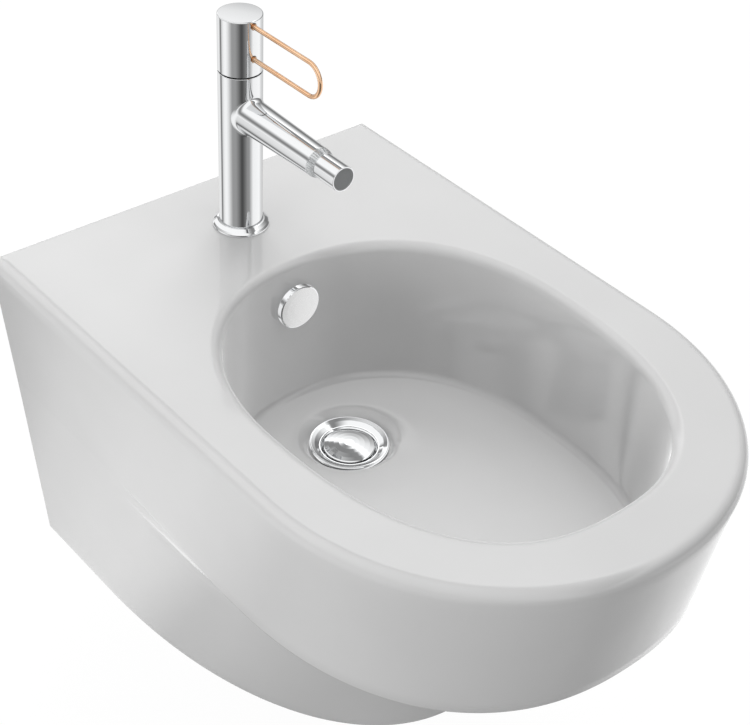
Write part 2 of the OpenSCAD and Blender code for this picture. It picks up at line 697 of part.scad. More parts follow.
module waste_nut() {
    r = tail_d / 2 + 6;
    high = nut_under - 7;
    color(chrome_c) at_waste(boss_z - nut_under) difference() {
        union() {
            cylinder(r = r, h = high);
            translate([0, 0, high - 3]) cylinder(r = r + 2, h = 3);
            for (k = [0 : 5]) rotate([0, 0, 60 * k]) translate([r - 1, -2.5, 0]) cube([3, 5, high - 2]);
        }
        translate([0, 0, -1]) cylinder(r = neck_tail_r + fit / 2, h = high + 2);
    }
}

// Plug: a shallow dome that stands open in the dish, a seal under it and a stem in a spring catch.
module plug() {
    r = plug_d / 2;
    color(chrome_c) at_waste(flange_z - plug_up) rotate_extrude()
        polygon([[0, 0], [r - 0.6, 0], [r, 0.5], [r, 1.6], [r - 0.5, 2.1], [r * 0.8, 3.2], [r * 0.6, 4.0],
            [r * 0.4, 4.6], [r * 0.2, 4.9], [0, 5]]);
}

module plug_seal() {
    color(rubber_c) at_waste(flange_z - plug_up - 2) tube(plug_d / 2 - 0.8, plug_d / 2 - 5.5, 2);
}

module plug_stem() {
    color(nylon_c) at_waste(flange_z - plug_up - stem_len) cylinder(r = 3, h = stem_len);
}

module click_guide() {
    top = 24;
    deep = plug_up + stem_len + plug_travel + 4;
    color(grey_c) at_waste(flange_z - deep) difference() {
        union() {
            cylinder(r = 7, h = deep - top);
            for (k = [0 : 2]) rotate([0, 0, 120 * k + 30]) translate([0, -1.5, 0])
                cube([bore_r - fit, 3, 8]);
        }
        translate([0, 0, 3]) cylinder(r = 3 + fit, h = deep);
    }
}

// Overflow: a round cap that stands off the basin wall, on a hollow stem pushed into a bush.
module at_overflow() {
    translate([0, -wall_y, deck_z - overflow_depth]) rotate([90, 0, 0]) children();
}

module overflow_cap() {
    r = cap_d / 2;
    color(chrome_c) at_overflow() translate([0, 0, cap_gap]) difference() {
        rotate_extrude() polygon([[0, -10], [6, -10], [6, 0], [r - 0.5, 0], [r, 0.5], [r, 3.9],
            [r - 0.4, 4.5], [r - 1.2, 4.8], [r * 0.7, 5.2], [r * 0.35, 5.5], [0, 5.6]]);
        translate([0, 0, -11]) cylinder(r = 4.2, h = 12);
        for (a = [0, 90]) rotate([0, 0, a]) translate([-r, -2.2, -6]) cube([2 * r, 4.4, 4]);
    }
}

module overflow_bush() {
    color(nylon_c) at_overflow() translate([0, 0, -9.6]) tube(bush_r, 6 + fit, 8.8);
}

china_body();
wall_sleeves();
foot_ring();
foot_seal();
tap_body();
cartridge_cup();
cartridge_discs();
cartridge_carrier();
pivot_pin();
dome_nut();
lever_stem();
tap_head();
grub_screw();
wire_handle();
spout_collar();
swivel_seat();
nozzle();
aerator();
tap_stud();
clamp_rubber();
clamp_plate();
stud_nut();
waste_flange();
flange_seal();
cone_seal();
waste_nut();
plug();
plug_seal();
plug_stem();
click_guide();
overflow_cap();
overflow_bush();
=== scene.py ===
"""Visual model of a wall-hung bidet with its mixer, waste and overflow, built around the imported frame.

Lengths in the classes are millimetres in the row frame: the origin is the middle of the two wall
bolts on the back face, +Y points into the wall, -Y to the user and +Z up. Meshes are in metres.
"""

from __future__ import annotations

import logging
import math
from dataclasses import dataclass
from enum import Enum

import bmesh
import bpy
import numpy as np
from mathutils import Matrix, Vector

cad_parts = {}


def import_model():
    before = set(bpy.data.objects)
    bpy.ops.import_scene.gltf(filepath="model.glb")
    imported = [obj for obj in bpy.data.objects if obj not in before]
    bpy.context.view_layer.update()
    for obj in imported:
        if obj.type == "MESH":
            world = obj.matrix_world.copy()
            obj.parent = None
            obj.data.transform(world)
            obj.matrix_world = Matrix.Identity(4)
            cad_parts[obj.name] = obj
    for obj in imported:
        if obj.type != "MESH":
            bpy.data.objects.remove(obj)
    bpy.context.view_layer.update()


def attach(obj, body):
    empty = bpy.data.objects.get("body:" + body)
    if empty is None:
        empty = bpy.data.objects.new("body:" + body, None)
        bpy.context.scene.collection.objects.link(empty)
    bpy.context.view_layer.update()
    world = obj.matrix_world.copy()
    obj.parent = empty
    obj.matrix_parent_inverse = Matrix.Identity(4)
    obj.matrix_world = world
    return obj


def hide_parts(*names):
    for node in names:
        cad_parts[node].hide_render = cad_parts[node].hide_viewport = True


logging.basicConfig(level=logging.INFO, format="%(message)s")
LOG = logging.getLogger("bidet")

Piece = bpy.types.Object
Tree = bpy.types.NodeTree
Node = bpy.types.Node
Socket = bpy.types.NodeSocket
Faces = list[tuple[int, ...]]
Rows = list[np.ndarray]
Points = list[tuple[float, float]]
Spot = tuple[float, float, float]
Stops = tuple[tuple[float, str], ...]
Values = dict[str | int, object]

MM = 0.001
PHOTO_WIDTH = 750
SENSOR_MM = 36.0
CRISP_DEG = 32.0
COPY_DEG = 26.0
WIRE_SIDES = 28
# A corner that turns by less than this many radians isn't rounded.
STRAIGHT = 0.02


class Carve(Enum):
    """What a tool solid does to the solid that it meets."""

    CUT = "DIFFERENCE"
    JOIN = "UNION"


class Body(Enum):
    """Rigid bodies of the part that pieces ride on."""

    BASE = "base"
    TURN = "turn"
    HEAD = "head"
    SWIVEL = "swivel"
    NOZZLE = "nozzle"
    PLUG = "plug"


# ---- Small helpers for nodes, meshes and rules ----


def linear(hex_colour: str) -> tuple[float, float, float, float]:
    """Turn an sRGB hex colour into linear RGBA.

    Args:
        hex_colour: Colour such as "#DADAD7".

    Returns:
        Linear red, green, blue and an alpha of 1.
    """
    parts = [int(hex_colour[i : i + 2], 16) / 255 for i in (1, 3, 5)]
    red, green, blue = (c / 12.92 if c <= 0.04045 else ((c + 0.055) / 1.055) ** 2.4 for c in parts)
    return (red, green, blue, 1.0)


def add_node(
    tree: Tree, kind: str, settings: dict[str, object] | None = None, inputs: Values | None = None,
) -> Node:
    """Add a node with its settings, socket values and links.

    Args:
        tree: Node tree that receives the node.
        kind: Blender's class name of the node.
        settings: Attributes of the node to set.
        inputs: Socket values, or output sockets to link from, by socket name or index.

    Returns:
        The new node.
    """
    made = tree.nodes.new(kind)
    for key, value in (settings or {}).items():
        setattr(made, key, value)
    for key, value in (inputs or {}).items():
        if isinstance(value, Socket):
            tree.links.new(value, made.inputs[key])
        else:
            made.inputs[key].default_value = value
    return made


def blank_tree(owner: bpy.types.ID) -> Tree:
    """Return the emptied node tree of a material or a world."""
    owner.use_nodes = True
    owner.node_tree.nodes.clear()
    return owner.node_tree


def add_object(name: str, data: bpy.types.ID) -> Piece:
    """Return a new object at the origin, linked to the scene."""
    made = bpy.data.objects.new(name, data)
    bpy.context.scene.collection.objects.link(made)
    return made


def discard(piece: Piece) -> None:
    """Remove an object with its mesh."""
    mesh = piece.data
    bpy.data.objects.remove(piece)
    bpy.data.meshes.remove(mesh)


def mesh_object(name: str, verts: np.ndarray, faces: Faces) -> Piece:
    """Make an object from points in millimetres and faces that point outwards.

    Args:
        name: Name of the object.
        verts: Points, one row each, in millimetres.
        faces: Vertex numbers of each face, anticlockwise from outside.

    Returns:
        The object, linked to the scene, at the origin.
    """
    mesh = bpy.data.meshes.new(name)
    mesh.from_pydata((np.asarray(verts, float) * MM).tolist(), [], faces)
    mesh.validate()
    mesh.update()
    return add_object(name, mesh)


def shade(piece: Piece, degrees: float = CRISP_DEG) -> Piece:
    """Shade a piece smooth, with edges sharper than an angle kept crisp.

    Args:
        piece: Object to shade.
        degrees: Least angle between faces of a crisp edge.

    Returns:
        The same object.
    """
    piece.data.shade_smooth()
    piece.data.set_sharp_from_angle(angle=math.radians(degrees))
    return piece


def settle(piece: Piece) -> Piece:
    """Turn a piece with modifiers into a plain mesh.

    Args:
        piece: Object whose modifiers are live.

    Returns:
        The same object, with the evaluated mesh and no modifiers.
    """
    graph = bpy.context.evaluated_depsgraph_get()
    mesh = bpy.data.meshes.new_from_object(piece.evaluated_get(graph))
    old = piece.data
    piece.modifiers.clear()
    piece.data = mesh
    bpy.data.meshes.remove(old)
    mesh.name = piece.name
    return piece


def carve(piece: Piece, tool: Piece, how: Carve = Carve.CUT) -> Piece:
    """Cut a tool solid out of a piece, or join it on, and remove the tool.

    Args:
        piece: Closed solid to change.
        tool: Closed solid to cut or join.
        how: Whether the tool cuts or joins.

    Returns:
        The changed piece.
    """
    step = piece.modifiers.new("carve", "BOOLEAN")
    step.operation = how.value
    step.solver = "MANIFOLD"
    step.object = tool
    settle(piece)
    discard(tool)
    return piece


def merge(name: str, pieces: list[Piece]) -> Piece:
    """Join several objects into one mesh, with their faces kept.

    Args:
        name: Name of the joined object.
        pieces: Objects to join; they are removed.

    Returns:
        The joined object.
    """
    work = bmesh.new()
    slots: list[bpy.types.Material] = []
    for piece in pieces:
        first = len(work.faces)
        work.from_mesh(piece.data)
        work.faces.ensure_lookup_table()
        for own, material in enumerate(piece.data.materials):
            if material not in slots:
                slots.append(material)
            for face in work.faces[first:]:
                if face.material_index == own:
                    face.material_index = slots.index(material)
    mesh = bpy.data.meshes.new(name)
    work.to_mesh(mesh)
    work.free()
    for material in slots:
        mesh.materials.append(material)
    for piece in pieces:
        discard(piece)
    return add_object(name, mesh)


def rounded(corners: list[tuple[float, ...]], steps: int = 6) -> Points:
    """Round the corners of an open profile, with a point held close on both sides of each rounding.

    The held points keep the long faces beside a rounding flat in their shading.

    Args:
        corners: Radius and height of each corner, with the corner's rounding as an optional third.
        steps: Segments of each rounding.

    Returns:
        Points of the rounded profile.
    """
    out: Points = []
    for i, corner in enumerate(corners):
        here = np.array(corner[:2], float)
        size = corner[2] if len(corner) > 2 else 0.0
        angle = math.pi
        if size > 0 and 0 < i < len(corners) - 1:
            arms = (np.array(corners[k][:2], float) - here for k in (i - 1, i + 1))
            to_before, to_after = (arm / np.linalg.norm(arm) for arm in arms)
            angle = math.acos(float(np.clip(np.dot(to_before, to_after), -1, 1)))
        if math.pi - angle < STRAIGHT:
            out.append(tuple(map(float, here)))
            continue
        reach = size / math.tan(angle / 2)
        hold = min(0.15, 0.4 * size)
        start, end = here + to_before * reach, here + to_after * reach
        out.append(tuple(map(float, start + to_before * hold)))
        middle = (to_before + to_after) / np.linalg.norm(to_before + to_after)
        centre = here + middle * size / math.sin(angle / 2)
        a, b = start - centre, end - centre
        sweep = math.acos(float(np.clip(np.dot(a, b) / size**2, -1, 1)))
        for k in range(steps + 1):
            t = k / steps
            arm = (math.sin((1 - t) * sweep) * a + math.sin(t * sweep) * b) / math.sin(sweep)
            out.append(tuple(map(float, centre + arm)))
        out.append(tuple(map(float, end + to_after * hold)))
    return out


def turned(name: str, profile: Points, place: Matrix, sides: int = 96, closed: bool = False) -> Piece:
    """Turn a profile about the local Z axis.

    Args:
        name: Name of the object.
        profile: Radius and height of each point, so that the solid is on the left of the path.
        place: Local frame of the turned solid, in millimetres.
        sides: Segments round the axis.
        closed: Whether the last point joins the first, as on a ring.

    Returns:
        The turned solid. Open profiles start and end on the axis.
    """
    verts: list[Spot] = []
    rings: list[list[int]] = []
    for radius, height in profile:
        if radius < 1e-6:
            rings.append([len(verts)])
            verts.append((0.0, 0.0, height))
            continue
        rings.append(list(range(len(verts), len(verts) + sides)))
        for k in range(sides):
            angle = 2 * math.pi * k / sides
            verts.append((radius * math.cos(angle), radius * math.sin(angle), height))
    faces: Faces = []
    pairs = list(zip(rings, rings[1:]))
    if closed:
        pairs.append((rings[-1], rings[0]))
    for low, high in pairs:
        for k in range(sides):
            n = (k + 1) % sides
            if len(low) == 1:
                faces.append((low[0], high[n], high[k]))
            elif len(high) == 1:
                faces.append((low[k], low[n], high[0]))
            else:
                faces.append((low[k], low[n], high[n], high[k]))
    spots = np.array([place @ Vector(v) for v in verts], float)
    return shade(mesh_object(name, spots, faces))


def lofted(name: str, rows: Rows, closed: bool = False, clockwise: bool = False) -> Piece:
    """Make a closed solid from rows of points that share their number of columns.

    Args:
        name: Name of the object.
        rows: Rows from the first to the last.
        closed: Whether the last row joins the first, as on a ring.
        clockwise: Whether the rows turn clockwise, seen from the last towards the first.

    Returns:
        The solid.
    """
    n, m = len(rows[0]), len(rows)
    faces: Faces = []
    for j in range(m if closed else m - 1):
        a, b = j * n, ((j + 1) % m) * n
        faces += [(a + i, a + (i + 1) % n, b + (i + 1) % n, b + i) for i in range(n)]
    if not closed:
        faces += [tuple(range(n - 1, -1, -1)), tuple((m - 1) * n + i for i in range(n))]
    if clockwise:
        faces = [(face[0], *face[:0:-1]) for face in faces]
    return mesh_object(name, np.vstack(rows), faces)


def block(name: str, low: Spot, high: Spot) -> Piece:
    """Make a cutting block between two corners.

    Args:
        name: Name of the object.
        low: Lowest corner in millimetres.
        high: Highest corner in millimetres.

    Returns:
        The block.
    """
    corners = np.array([[(low, high)[b][i] for i, b in enumerate(c)] for c in np.ndindex(2, 2, 2)], float)
    faces = [(0, 1, 3, 2), (4, 6, 7, 5), (0, 4, 5, 1), (2, 3, 7, 6), (0, 2, 6, 4), (1, 5, 7, 3)]
    return mesh_object(name, corners, faces)


def sphere_arc(radius: float, start: float, end: float, count: int, middle: float = 0.0) -> Points:
    """Return points of a circle about the axis, from one angle off the axis to another."""
    return [(radius * math.sin(a), middle + radius * math.cos(a)) for a in np.linspace(start, end, count)]


def bend(radius: float, start: float, end: float, count: int) -> Points:
    """Return how far points of a rounding lie off the two faces that it joins.

    Args:
        radius: Radius of the rounding.
        start: Angle of the first point in degrees; 0 lies on the second face and 90 on the first.
        end: Angle of the last point.
        count: Number of points.

    Returns:
        Distance from the first and the second face at each point.
    """
    angles = np.radians(np.linspace(start, end, count))
    return [(radius * (1 - math.sin(a)), radius * (1 - math.cos(a))) for a in angles]


def blends(first: np.ndarray, last: np.ndarray, shares: tuple[float, ...] | np.ndarray) -> Rows:
    """Return rows between two rows, by their share of the last one."""
    return [first * (1 - share) + last * share for share in shares]


def rod(name: str, radius: float, start: float, end: float, place: Matrix, sides: int = 64) -> Piece:
    """Make a plain round cutter along the local Z axis.

    Args:
        name: Name of the object.
        radius: Radius in millimetres.
        start: Height of the lower end.
        end: Height of the upper end.
        place: Local frame.
        sides: Segments round the axis.

    Returns:
        The cutter.
    """
    return turned(name, [(0, start), (radius, start), (radius, end), (0, end)], place, sides)


def at(x: float, y: float, z: float) -> Matrix:
    """Return an upright local frame at a point in millimetres."""
    return Matrix.Translation((x, y, z))


def turned_by(degrees: float, axis: str) -> Matrix:
    """Return a turn about an axis."""
    return Matrix.Rotation(math.radians(degrees), 4, axis)


def forward(x: float, y: float, z: float) -> Matrix:
    """Return a local frame whose +Z points to the user, at a point in millimetres."""
    return at(x, y, z) @ turned_by(90, "X")


# ---- Finishes ----


# Part of a noise's range over which colours and values are spread: the middle, where most of it lies.
NOISE_SPAN = (0.3, 0.7)


class Surface:
    """A material in the making: one Principled shader, with detail drawn on Object coordinates."""

    def __init__(self, name: str, inputs: Values) -> None:
        """Start a material.

        Args:
            name: Name of the material.
            inputs: Values of the shader's sockets.
        """
        self.material = bpy.data.materials.new(name)
        self.tree = blank_tree(self.material)
        self.shader = add_node(self.tree, "ShaderNodeBsdfPrincipled", inputs=inputs)
        add_node(self.tree, "ShaderNodeOutputMaterial", inputs={"Surface": self.shader.outputs["BSDF"]})
        self.coords = add_node(self.tree, "ShaderNodeTexCoord").outputs["Object"]

    def noise(self, size_mm: float, depth: float = 2.0, scale: Spot | None = None) -> Socket:
        """Return noise with features of a real size.

        Args:
            size_mm: Size of the largest features in millimetres.
            depth: Octaves of finer features.
            scale: Scale of each axis, where the features are drawn out into lines.

        Returns:
            The noise's factor socket.
        """
        vector = self.coords
        if scale:
            drawn = add_node(self.tree, "ShaderNodeMapping", inputs={"Vector": vector, "Scale": scale})
            vector = drawn.outputs["Vector"]
        made = add_node(
            self.tree, "ShaderNodeTexNoise", {"noise_dimensions": "3D"},
            {"Vector": vector, "Scale": 1 / (size_mm * MM), "Detail": depth, "Roughness": 0.5},
        )
        return made.outputs["Fac"]

    def gloss(self, factor: Socket, low: float, high: float) -> None:
        """Let the roughness vary between two values with a factor."""
        start, end = NOISE_SPAN
        made = add_node(
            self.tree, "ShaderNodeMapRange", {"clamp": True},
            {"Value": factor, "From Min": start, "From Max": end, "To Min": low, "To Max": high},
        )
        self.tree.links.new(made.outputs["Result"], self.shader.inputs["Roughness"])

    def tint(self, factor: Socket, low: str, high: str) -> None:
        """Let the colour vary between two hex colours with a factor."""
        ramp = add_node(self.tree, "ShaderNodeValToRGB", inputs={"Fac": factor})
        for mark, place, colour in zip(ramp.color_ramp.elements, NOISE_SPAN, (low, high)):
            mark.position, mark.color = place, linear(colour)
        self.tree.links.new(ramp.outputs["Color"], self.shader.inputs["Base Color"])

    def bump(self, height: Socket, depth_mm: float) -> None:
        """Drive the shader's normal from a height factor, whose 1 is a depth in millimetres."""
        inputs = {"Height": height, "Distance": depth_mm * MM, "Strength": 1.0}
        made = add_node(self.tree, "ShaderNodeBump", inputs=inputs)
        self.tree.links.new(made.outputs["Normal"], self.shader.inputs["Normal"])


@dataclass(frozen=True)
class Finish:
    """A finish made of one shader; each kind adds its own procedural detail."""

    name: str
    colour: str
    roughness: float
    metallic: float = 0.0
    ior: float = 1.5

    def material(self) -> bpy.types.Material:
        """Return the material, made on first use."""
        found = bpy.data.materials.get(self.name)
        if found:
            return found
        colour = linear(self.colour)
        values = (colour, self.roughness, self.metallic, self.ior)
        surface = Surface(self.name, dict(zip(("Base Color", "Roughness", "Metallic", "IOR"), values)))
        self.detail(surface)
        surface.material.diffuse_color = colour
        return surface.material

    def detail(self, surface: Surface) -> None:
        """Add the finish's own surface detail; a plain finish has none."""


@dataclass(frozen=True)
class GlazedChina(Finish):
    """Vitreous china under a fired glaze: glassy and even, with the faint waves of a poured glaze."""

    shadow_colour: str = "#D3D3D3"
    cloud_mm: float = 90.0
    gloss_mm: float = 22.0
    wave_mm: float = 34.0
    wave_depth: float = 0.012

    def detail(self, surface: Surface) -> None:
        """Add clouds in the colour, slow waves in the glaze and a slightly uneven gloss."""
        surface.tint(surface.noise(self.cloud_mm), self.shadow_colour, self.colour)
        surface.gloss(surface.noise(self.gloss_mm, 3.0), self.roughness * 0.85, self.roughness * 1.2)
        surface.bump(surface.noise(self.wave_mm, 1.0), self.wave_depth)


@dataclass(frozen=True)
class ChromePlate(Finish):
    """Electroplated chrome over polished brass: mirror-like, with the faint haze of wiping."""

    haze_mm: float = 9.0
    haze: float = 1.5

    def detail(self, surface: Surface) -> None:
        """Add a haze that varies over the surface."""
        surface.gloss(surface.noise(self.haze_mm, 4.0), self.roughness, self.roughness * self.haze)


@dataclass(frozen=True)
class SatinPlate(Finish):
    """Chrome over a fine-blasted face: soft reflections and a grain that catches light."""

    grain_mm: float = 0.5
    grain_depth: float = 0.01

    def detail(self, surface: Surface) -> None:
        """Add the blasted grain and a gloss that varies with it. The real grain of 0.1 mm is drawn at 0.5."""
        grain = surface.noise(self.grain_mm)
        surface.gloss(grain, self.roughness * 0.8, self.roughness * 1.2)
        surface.bump(grain, self.grain_depth)


@dataclass(frozen=True)
class PlatedWire(Finish):
    """Rose gold plate on drawn wire: warm and glossy, with fine lines along the wire."""

    deep_colour: str = "#E6B48A"
    warm_mm: float = 26.0
    line_mm: float = 0.35

    def detail(self, surface: Surface) -> None:
        """Add drawing lines along Y and a slow change of warmth."""
        surface.tint(surface.noise(self.warm_mm), self.deep_colour, self.colour)
        lines = surface.noise(self.line_mm, scale=(1.0, 0.04, 1.0))
        surface.gloss(lines, self.roughness * 0.8, self.roughness * 1.3)


@dataclass(frozen=True)
class BrushedMetal(Finish):
    """Turned or brushed metal: fine lines round the upright axis with a soft gloss."""

    dark_colour: str = "#8C8D8F"
    line_mm: float = 0.4

    def detail(self, surface: Surface) -> None:
        """Add lines stacked along Z in colour and gloss."""
        lines = surface.noise(self.line_mm, 3.0, (0.03, 0.03, 1.0))
        surface.tint(lines, self.dark_colour, self.colour)
        surface.gloss(lines, self.roughness * 0.8, self.roughness * 1.3)


@dataclass(frozen=True)
class MouldedPlastic(Finish):
    """Moulded nylon or acetal: an even colour with the fine spark-eroded grain of the mould."""

    grain_mm: float = 0.6
    grain_depth: float = 0.015

    def detail(self, surface: Surface) -> None:
        """Add the mould's grain. The real grain of 0.15 mm is drawn at 0.6 so that it shows."""
        grain = surface.noise(self.grain_mm, 3.0)
        surface.gloss(grain, self.roughness * 0.85, self.roughness * 1.15)
        surface.bump(grain, self.grain_depth)


CHINA = GlazedChina("glazed_vitreous_china", "#D6D6D6", 0.08, ior=1.52)
CHROME = ChromePlate("polished_chrome_plate", "#D9DADB", 0.035, metallic=1.0)
SATIN = SatinPlate("satin_chrome_plate", "#D6D6D6", 0.3, metallic=1.0)
ROSE_GOLD = PlatedWire("rose_gold_plated_wire", "#F6CFAC", 0.2, metallic=1.0)
STEEL = BrushedMetal("brushed_stainless_steel", "#BFC0C2", 0.3, metallic=1.0)
BRASS = BrushedMetal("turned_brass", "#D9BC78", 0.25, metallic=1.0, dark_colour="#B08E4C")
NYLON = MouldedPlastic("moulded_nylon", "#E4E4DF", 0.45, ior=1.53)
GREY_ACETAL = MouldedPlastic("moulded_grey_acetal", "#A4A6A7", 0.3, ior=1.48)
METALLISED = SatinPlate("satin_metallised_acetal", "#C9CBCC", 0.24, metallic=0.85, grain_depth=0.03)
DISC_CERAMIC = MouldedPlastic("ground_alumina_ceramic", "#E6E4DC", 0.2, ior=1.7)
RUBBER = MouldedPlastic("moulded_nitrile_rubber", "#1E1E1F", 0.6, ior=1.52)
WHITE = linear("#FFFFFF")


def dress(piece: Piece, finish: Finish) -> Piece:
    """Give a whole piece one finish.

    Args:
        piece: Object to dress.
        finish: Finish to use.

    Returns:
        The same object.
    """
    piece.data.materials.clear()
    piece.data.materials.append(finish.material())
    return piece


def seat(
    piece: Piece, body: Body, finish: Finish | None = None, nodes: tuple[str, ...] = ()
) -> Piece:
    """Dress a finished piece, let it ride on its body and hide the CAD nodes that it replaces.

    Args:
        piece: Finished object at the origin.
        body: Body that carries it.
        finish: Finish, or None where the piece is dressed already.
        nodes: CAD nodes that it replaces.

    Returns:
        The same object.
    """
    if finish:
        dress(piece, finish)
    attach(piece, body.value)
    if nodes:
        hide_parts(*nodes)
    LOG.info("%s: %d faces on %s", piece.name, len(piece.data.polygons), body.value)
    return piece


def smooth_copy(node: str, body: Body, finish: Finish) -> Piece:
    """Replace a CAD node by a merged copy of its mesh with smooth curves and crisp edges.

    Args:
        node: CAD node to copy.
        body: Body that carries it.
        finish: Finish of the copy.

    Returns:
        The copy.
    """
    made = add_object(node + "_piece", bpy.data.objects[node].data.copy())
    # The china lets reflections through, so the hidden pieces in it are left out of them too.
    made.visible_glossy = False
    work = bmesh.new()
    work.from_mesh(made.data)
    bmesh.ops.remove_doubles(work, verts=work.verts, dist=0.002 * MM)
    work.to_mesh(made.data)
    work.free()
    return seat(shade(made, COPY_DEG), body, finish, (node,))


def carry_over(*groups: tuple[Body, str, Finish, str]) -> None:
    """Make smooth copies of hidden CAD nodes, given as body, unused slot, finish and the nodes' names."""
    for body, slot, finish, nodes in groups:
        for node in nodes.split():
            smooth_copy(node, body, finish)


# ---- Rules built as geometry node trees ----


class RuleTree:
    """A geometry node tree with named inputs, made for one kind of repeated or swept piece."""

    def __init__(self, name: str, inputs: dict[str, float | int]) -> None:
        """Start a tree.

        Args:
            name: Name of the tree.
            inputs: Named inputs with their defaults; whole numbers become integer sockets.
        """
        self.tree = bpy.data.node_groups.new(name, "GeometryNodeTree")
        self.tree.interface.new_socket("Geometry", in_out="OUTPUT", socket_type="NodeSocketGeometry")
        for label, value in inputs.items():
            kind = "NodeSocketInt" if isinstance(value, int) else "NodeSocketFloat"
            made = self.tree.interface.new_socket(label, in_out="INPUT", socket_type=kind)
            made.default_value = value
        self.entry = self.tree.nodes.new("NodeGroupInput")
        self.inputs = inputs

    def given(self, label: str) -> Socket:
        """Return the socket of a named input."""
        return self.entry.outputs[label]

    def add(
        self, kind: str, settings: dict[str, object] | None = None, inputs: Values | None = None
    ) -> Node:
        """Add a node to the tree, as add_node does."""
        return add_node(self.tree, kind, settings, inputs)

    def sum_up(self, kind: str, first: object, second: object) -> Socket:
        """Return a math operation on two values.

        Args:
            kind: Name of the operation.
            first: First value or socket.
            second: Second value or socket.

        Returns:
            The result's socket.
        """
        return self.add("ShaderNodeMath", {"operation": kind}, {0: first, 1: second}).outputs[0]

    def join(self, *parts: Socket) -> Socket:
        """Return several geometries as one."""
        made = self.add("GeometryNodeJoinGeometry")
        for part in parts:
            self.tree.links.new(part, made.inputs["Geometry"])
        return made.outputs["Geometry"]

    def section(self, sides: int | Socket, radius: float | Socket) -> Socket:
        """Return a round section for a tube."""
        inputs = {"Resolution": sides, "Radius": radius}
        return self.add("GeometryNodeCurvePrimitiveCircle", {"mode": "RADIUS"}, inputs).outputs["Curve"]

    def tube(self, path: Socket, section: Socket) -> Socket:
        """Return the mesh of a section swept along a path, with closed ends."""
        inputs = {"Curve": path, "Profile Curve": section, "Fill Caps": True}
        return self.add("GeometryNodeCurveToMesh", inputs=inputs).outputs["Mesh"]

    def copies(self, points: Socket, item: Socket, setting: str, value: Socket) -> Socket:
        """Return copies of an item on points, with their rotation or scale set."""
        inputs = {"Points": points, "Instance": item, setting: value}
        return self.add("GeometryNodeInstanceOnPoints", inputs=inputs).outputs["Instances"]

    def piece(self, name: str, result: Socket, finish: Finish, smooth: float = CRISP_DEG) -> Piece:
        """Close the tree and turn its result into a plain mesh object.

        Args:
            name: Name of the object.
            result: Socket with the finished geometry.
            finish: Finish for all of it.
            smooth: Angle of crisp edges in degrees.

        Returns:
            The object, with no modifier left.
        """
        real = self.add("GeometryNodeRealizeInstances", inputs={"Geometry": result})
        dressed = self.add(
            "GeometryNodeSetMaterial",
            inputs={"Geometry": real.outputs["Geometry"], "Material": finish.material()},
        )
        self.add("NodeGroupOutput", inputs={"Geometry": dressed.outputs["Geometry"]})
        made = add_object(name, bpy.data.meshes.new(name))
        rule = made.modifiers.new("rule", "NODES")
        rule.node_group = self.tree
        for socket in self.tree.interface.items_tree:
            if socket.in_out == "INPUT" and socket.name in self.inputs:
                rule[socket.identifier] = self.inputs[socket.name]
        return shade(settle(made), smooth)


def wire_loop_tree(
    wire_r: float, bend_r: float, root_y: float, bend_y: float, top_z: float, low_z: float
) -> tuple[RuleTree, Socket]:
    """Build the tree of a wire bent to a long U in the upright plane.

    Args:
        wire_r: Radius of the wire in metres.
        bend_r: Radius of the bend.
        root_y: Y of both ends.
        bend_y: Y of the outermost point of the wire's centre line.
        top_z: Height of the upper run.
        low_z: Height of the lower run.

    Returns:
        The tree and its result socket.
    """
    labels = ("Wire radius", "Bend radius", "Root", "Reach", "Top", "Bottom", "Sides")
    sizes = (wire_r, bend_r, root_y, bend_y, top_z, low_z, WIRE_SIDES)
    rule = RuleTree("wire_loop", dict(zip(labels, sizes)))
    route = [
        rule.add("ShaderNodeCombineXYZ", inputs={"Y": rule.given(y), "Z": rule.given(z)}).outputs["Vector"]
        for y, z in (("Root", "Top"), ("Reach", "Top"), ("Reach", "Bottom"), ("Root", "Bottom"))
    ]
    runs = [
        rule.add("GeometryNodeCurvePrimitiveLine", inputs={"Start": start, "End": end}).outputs["Curve"]
        for start, end in zip(route, route[1:])
    ]
    as_mesh = rule.add("GeometryNodeCurveToMesh", inputs={"Curve": rule.join(*reversed(runs))})
    welded = rule.add(
        "GeometryNodeMergeByDistance", inputs={"Geometry": as_mesh.outputs["Mesh"], "Distance": 0.2 * MM}
    )
    path = rule.add("GeometryNodeMeshToCurve", inputs={"Mesh": welded.outputs["Geometry"]})
    bent = rule.add(
        "GeometryNodeFilletCurve", {"mode": "POLY"},
        {"Curve": path.outputs["Curve"], "Radius": rule.given("Bend radius"), "Count": WIRE_SIDES},
    )
    section = rule.section(rule.given("Sides"), rule.given("Wire radius"))
    return rule, rule.tube(bent.outputs["Curve"], section)


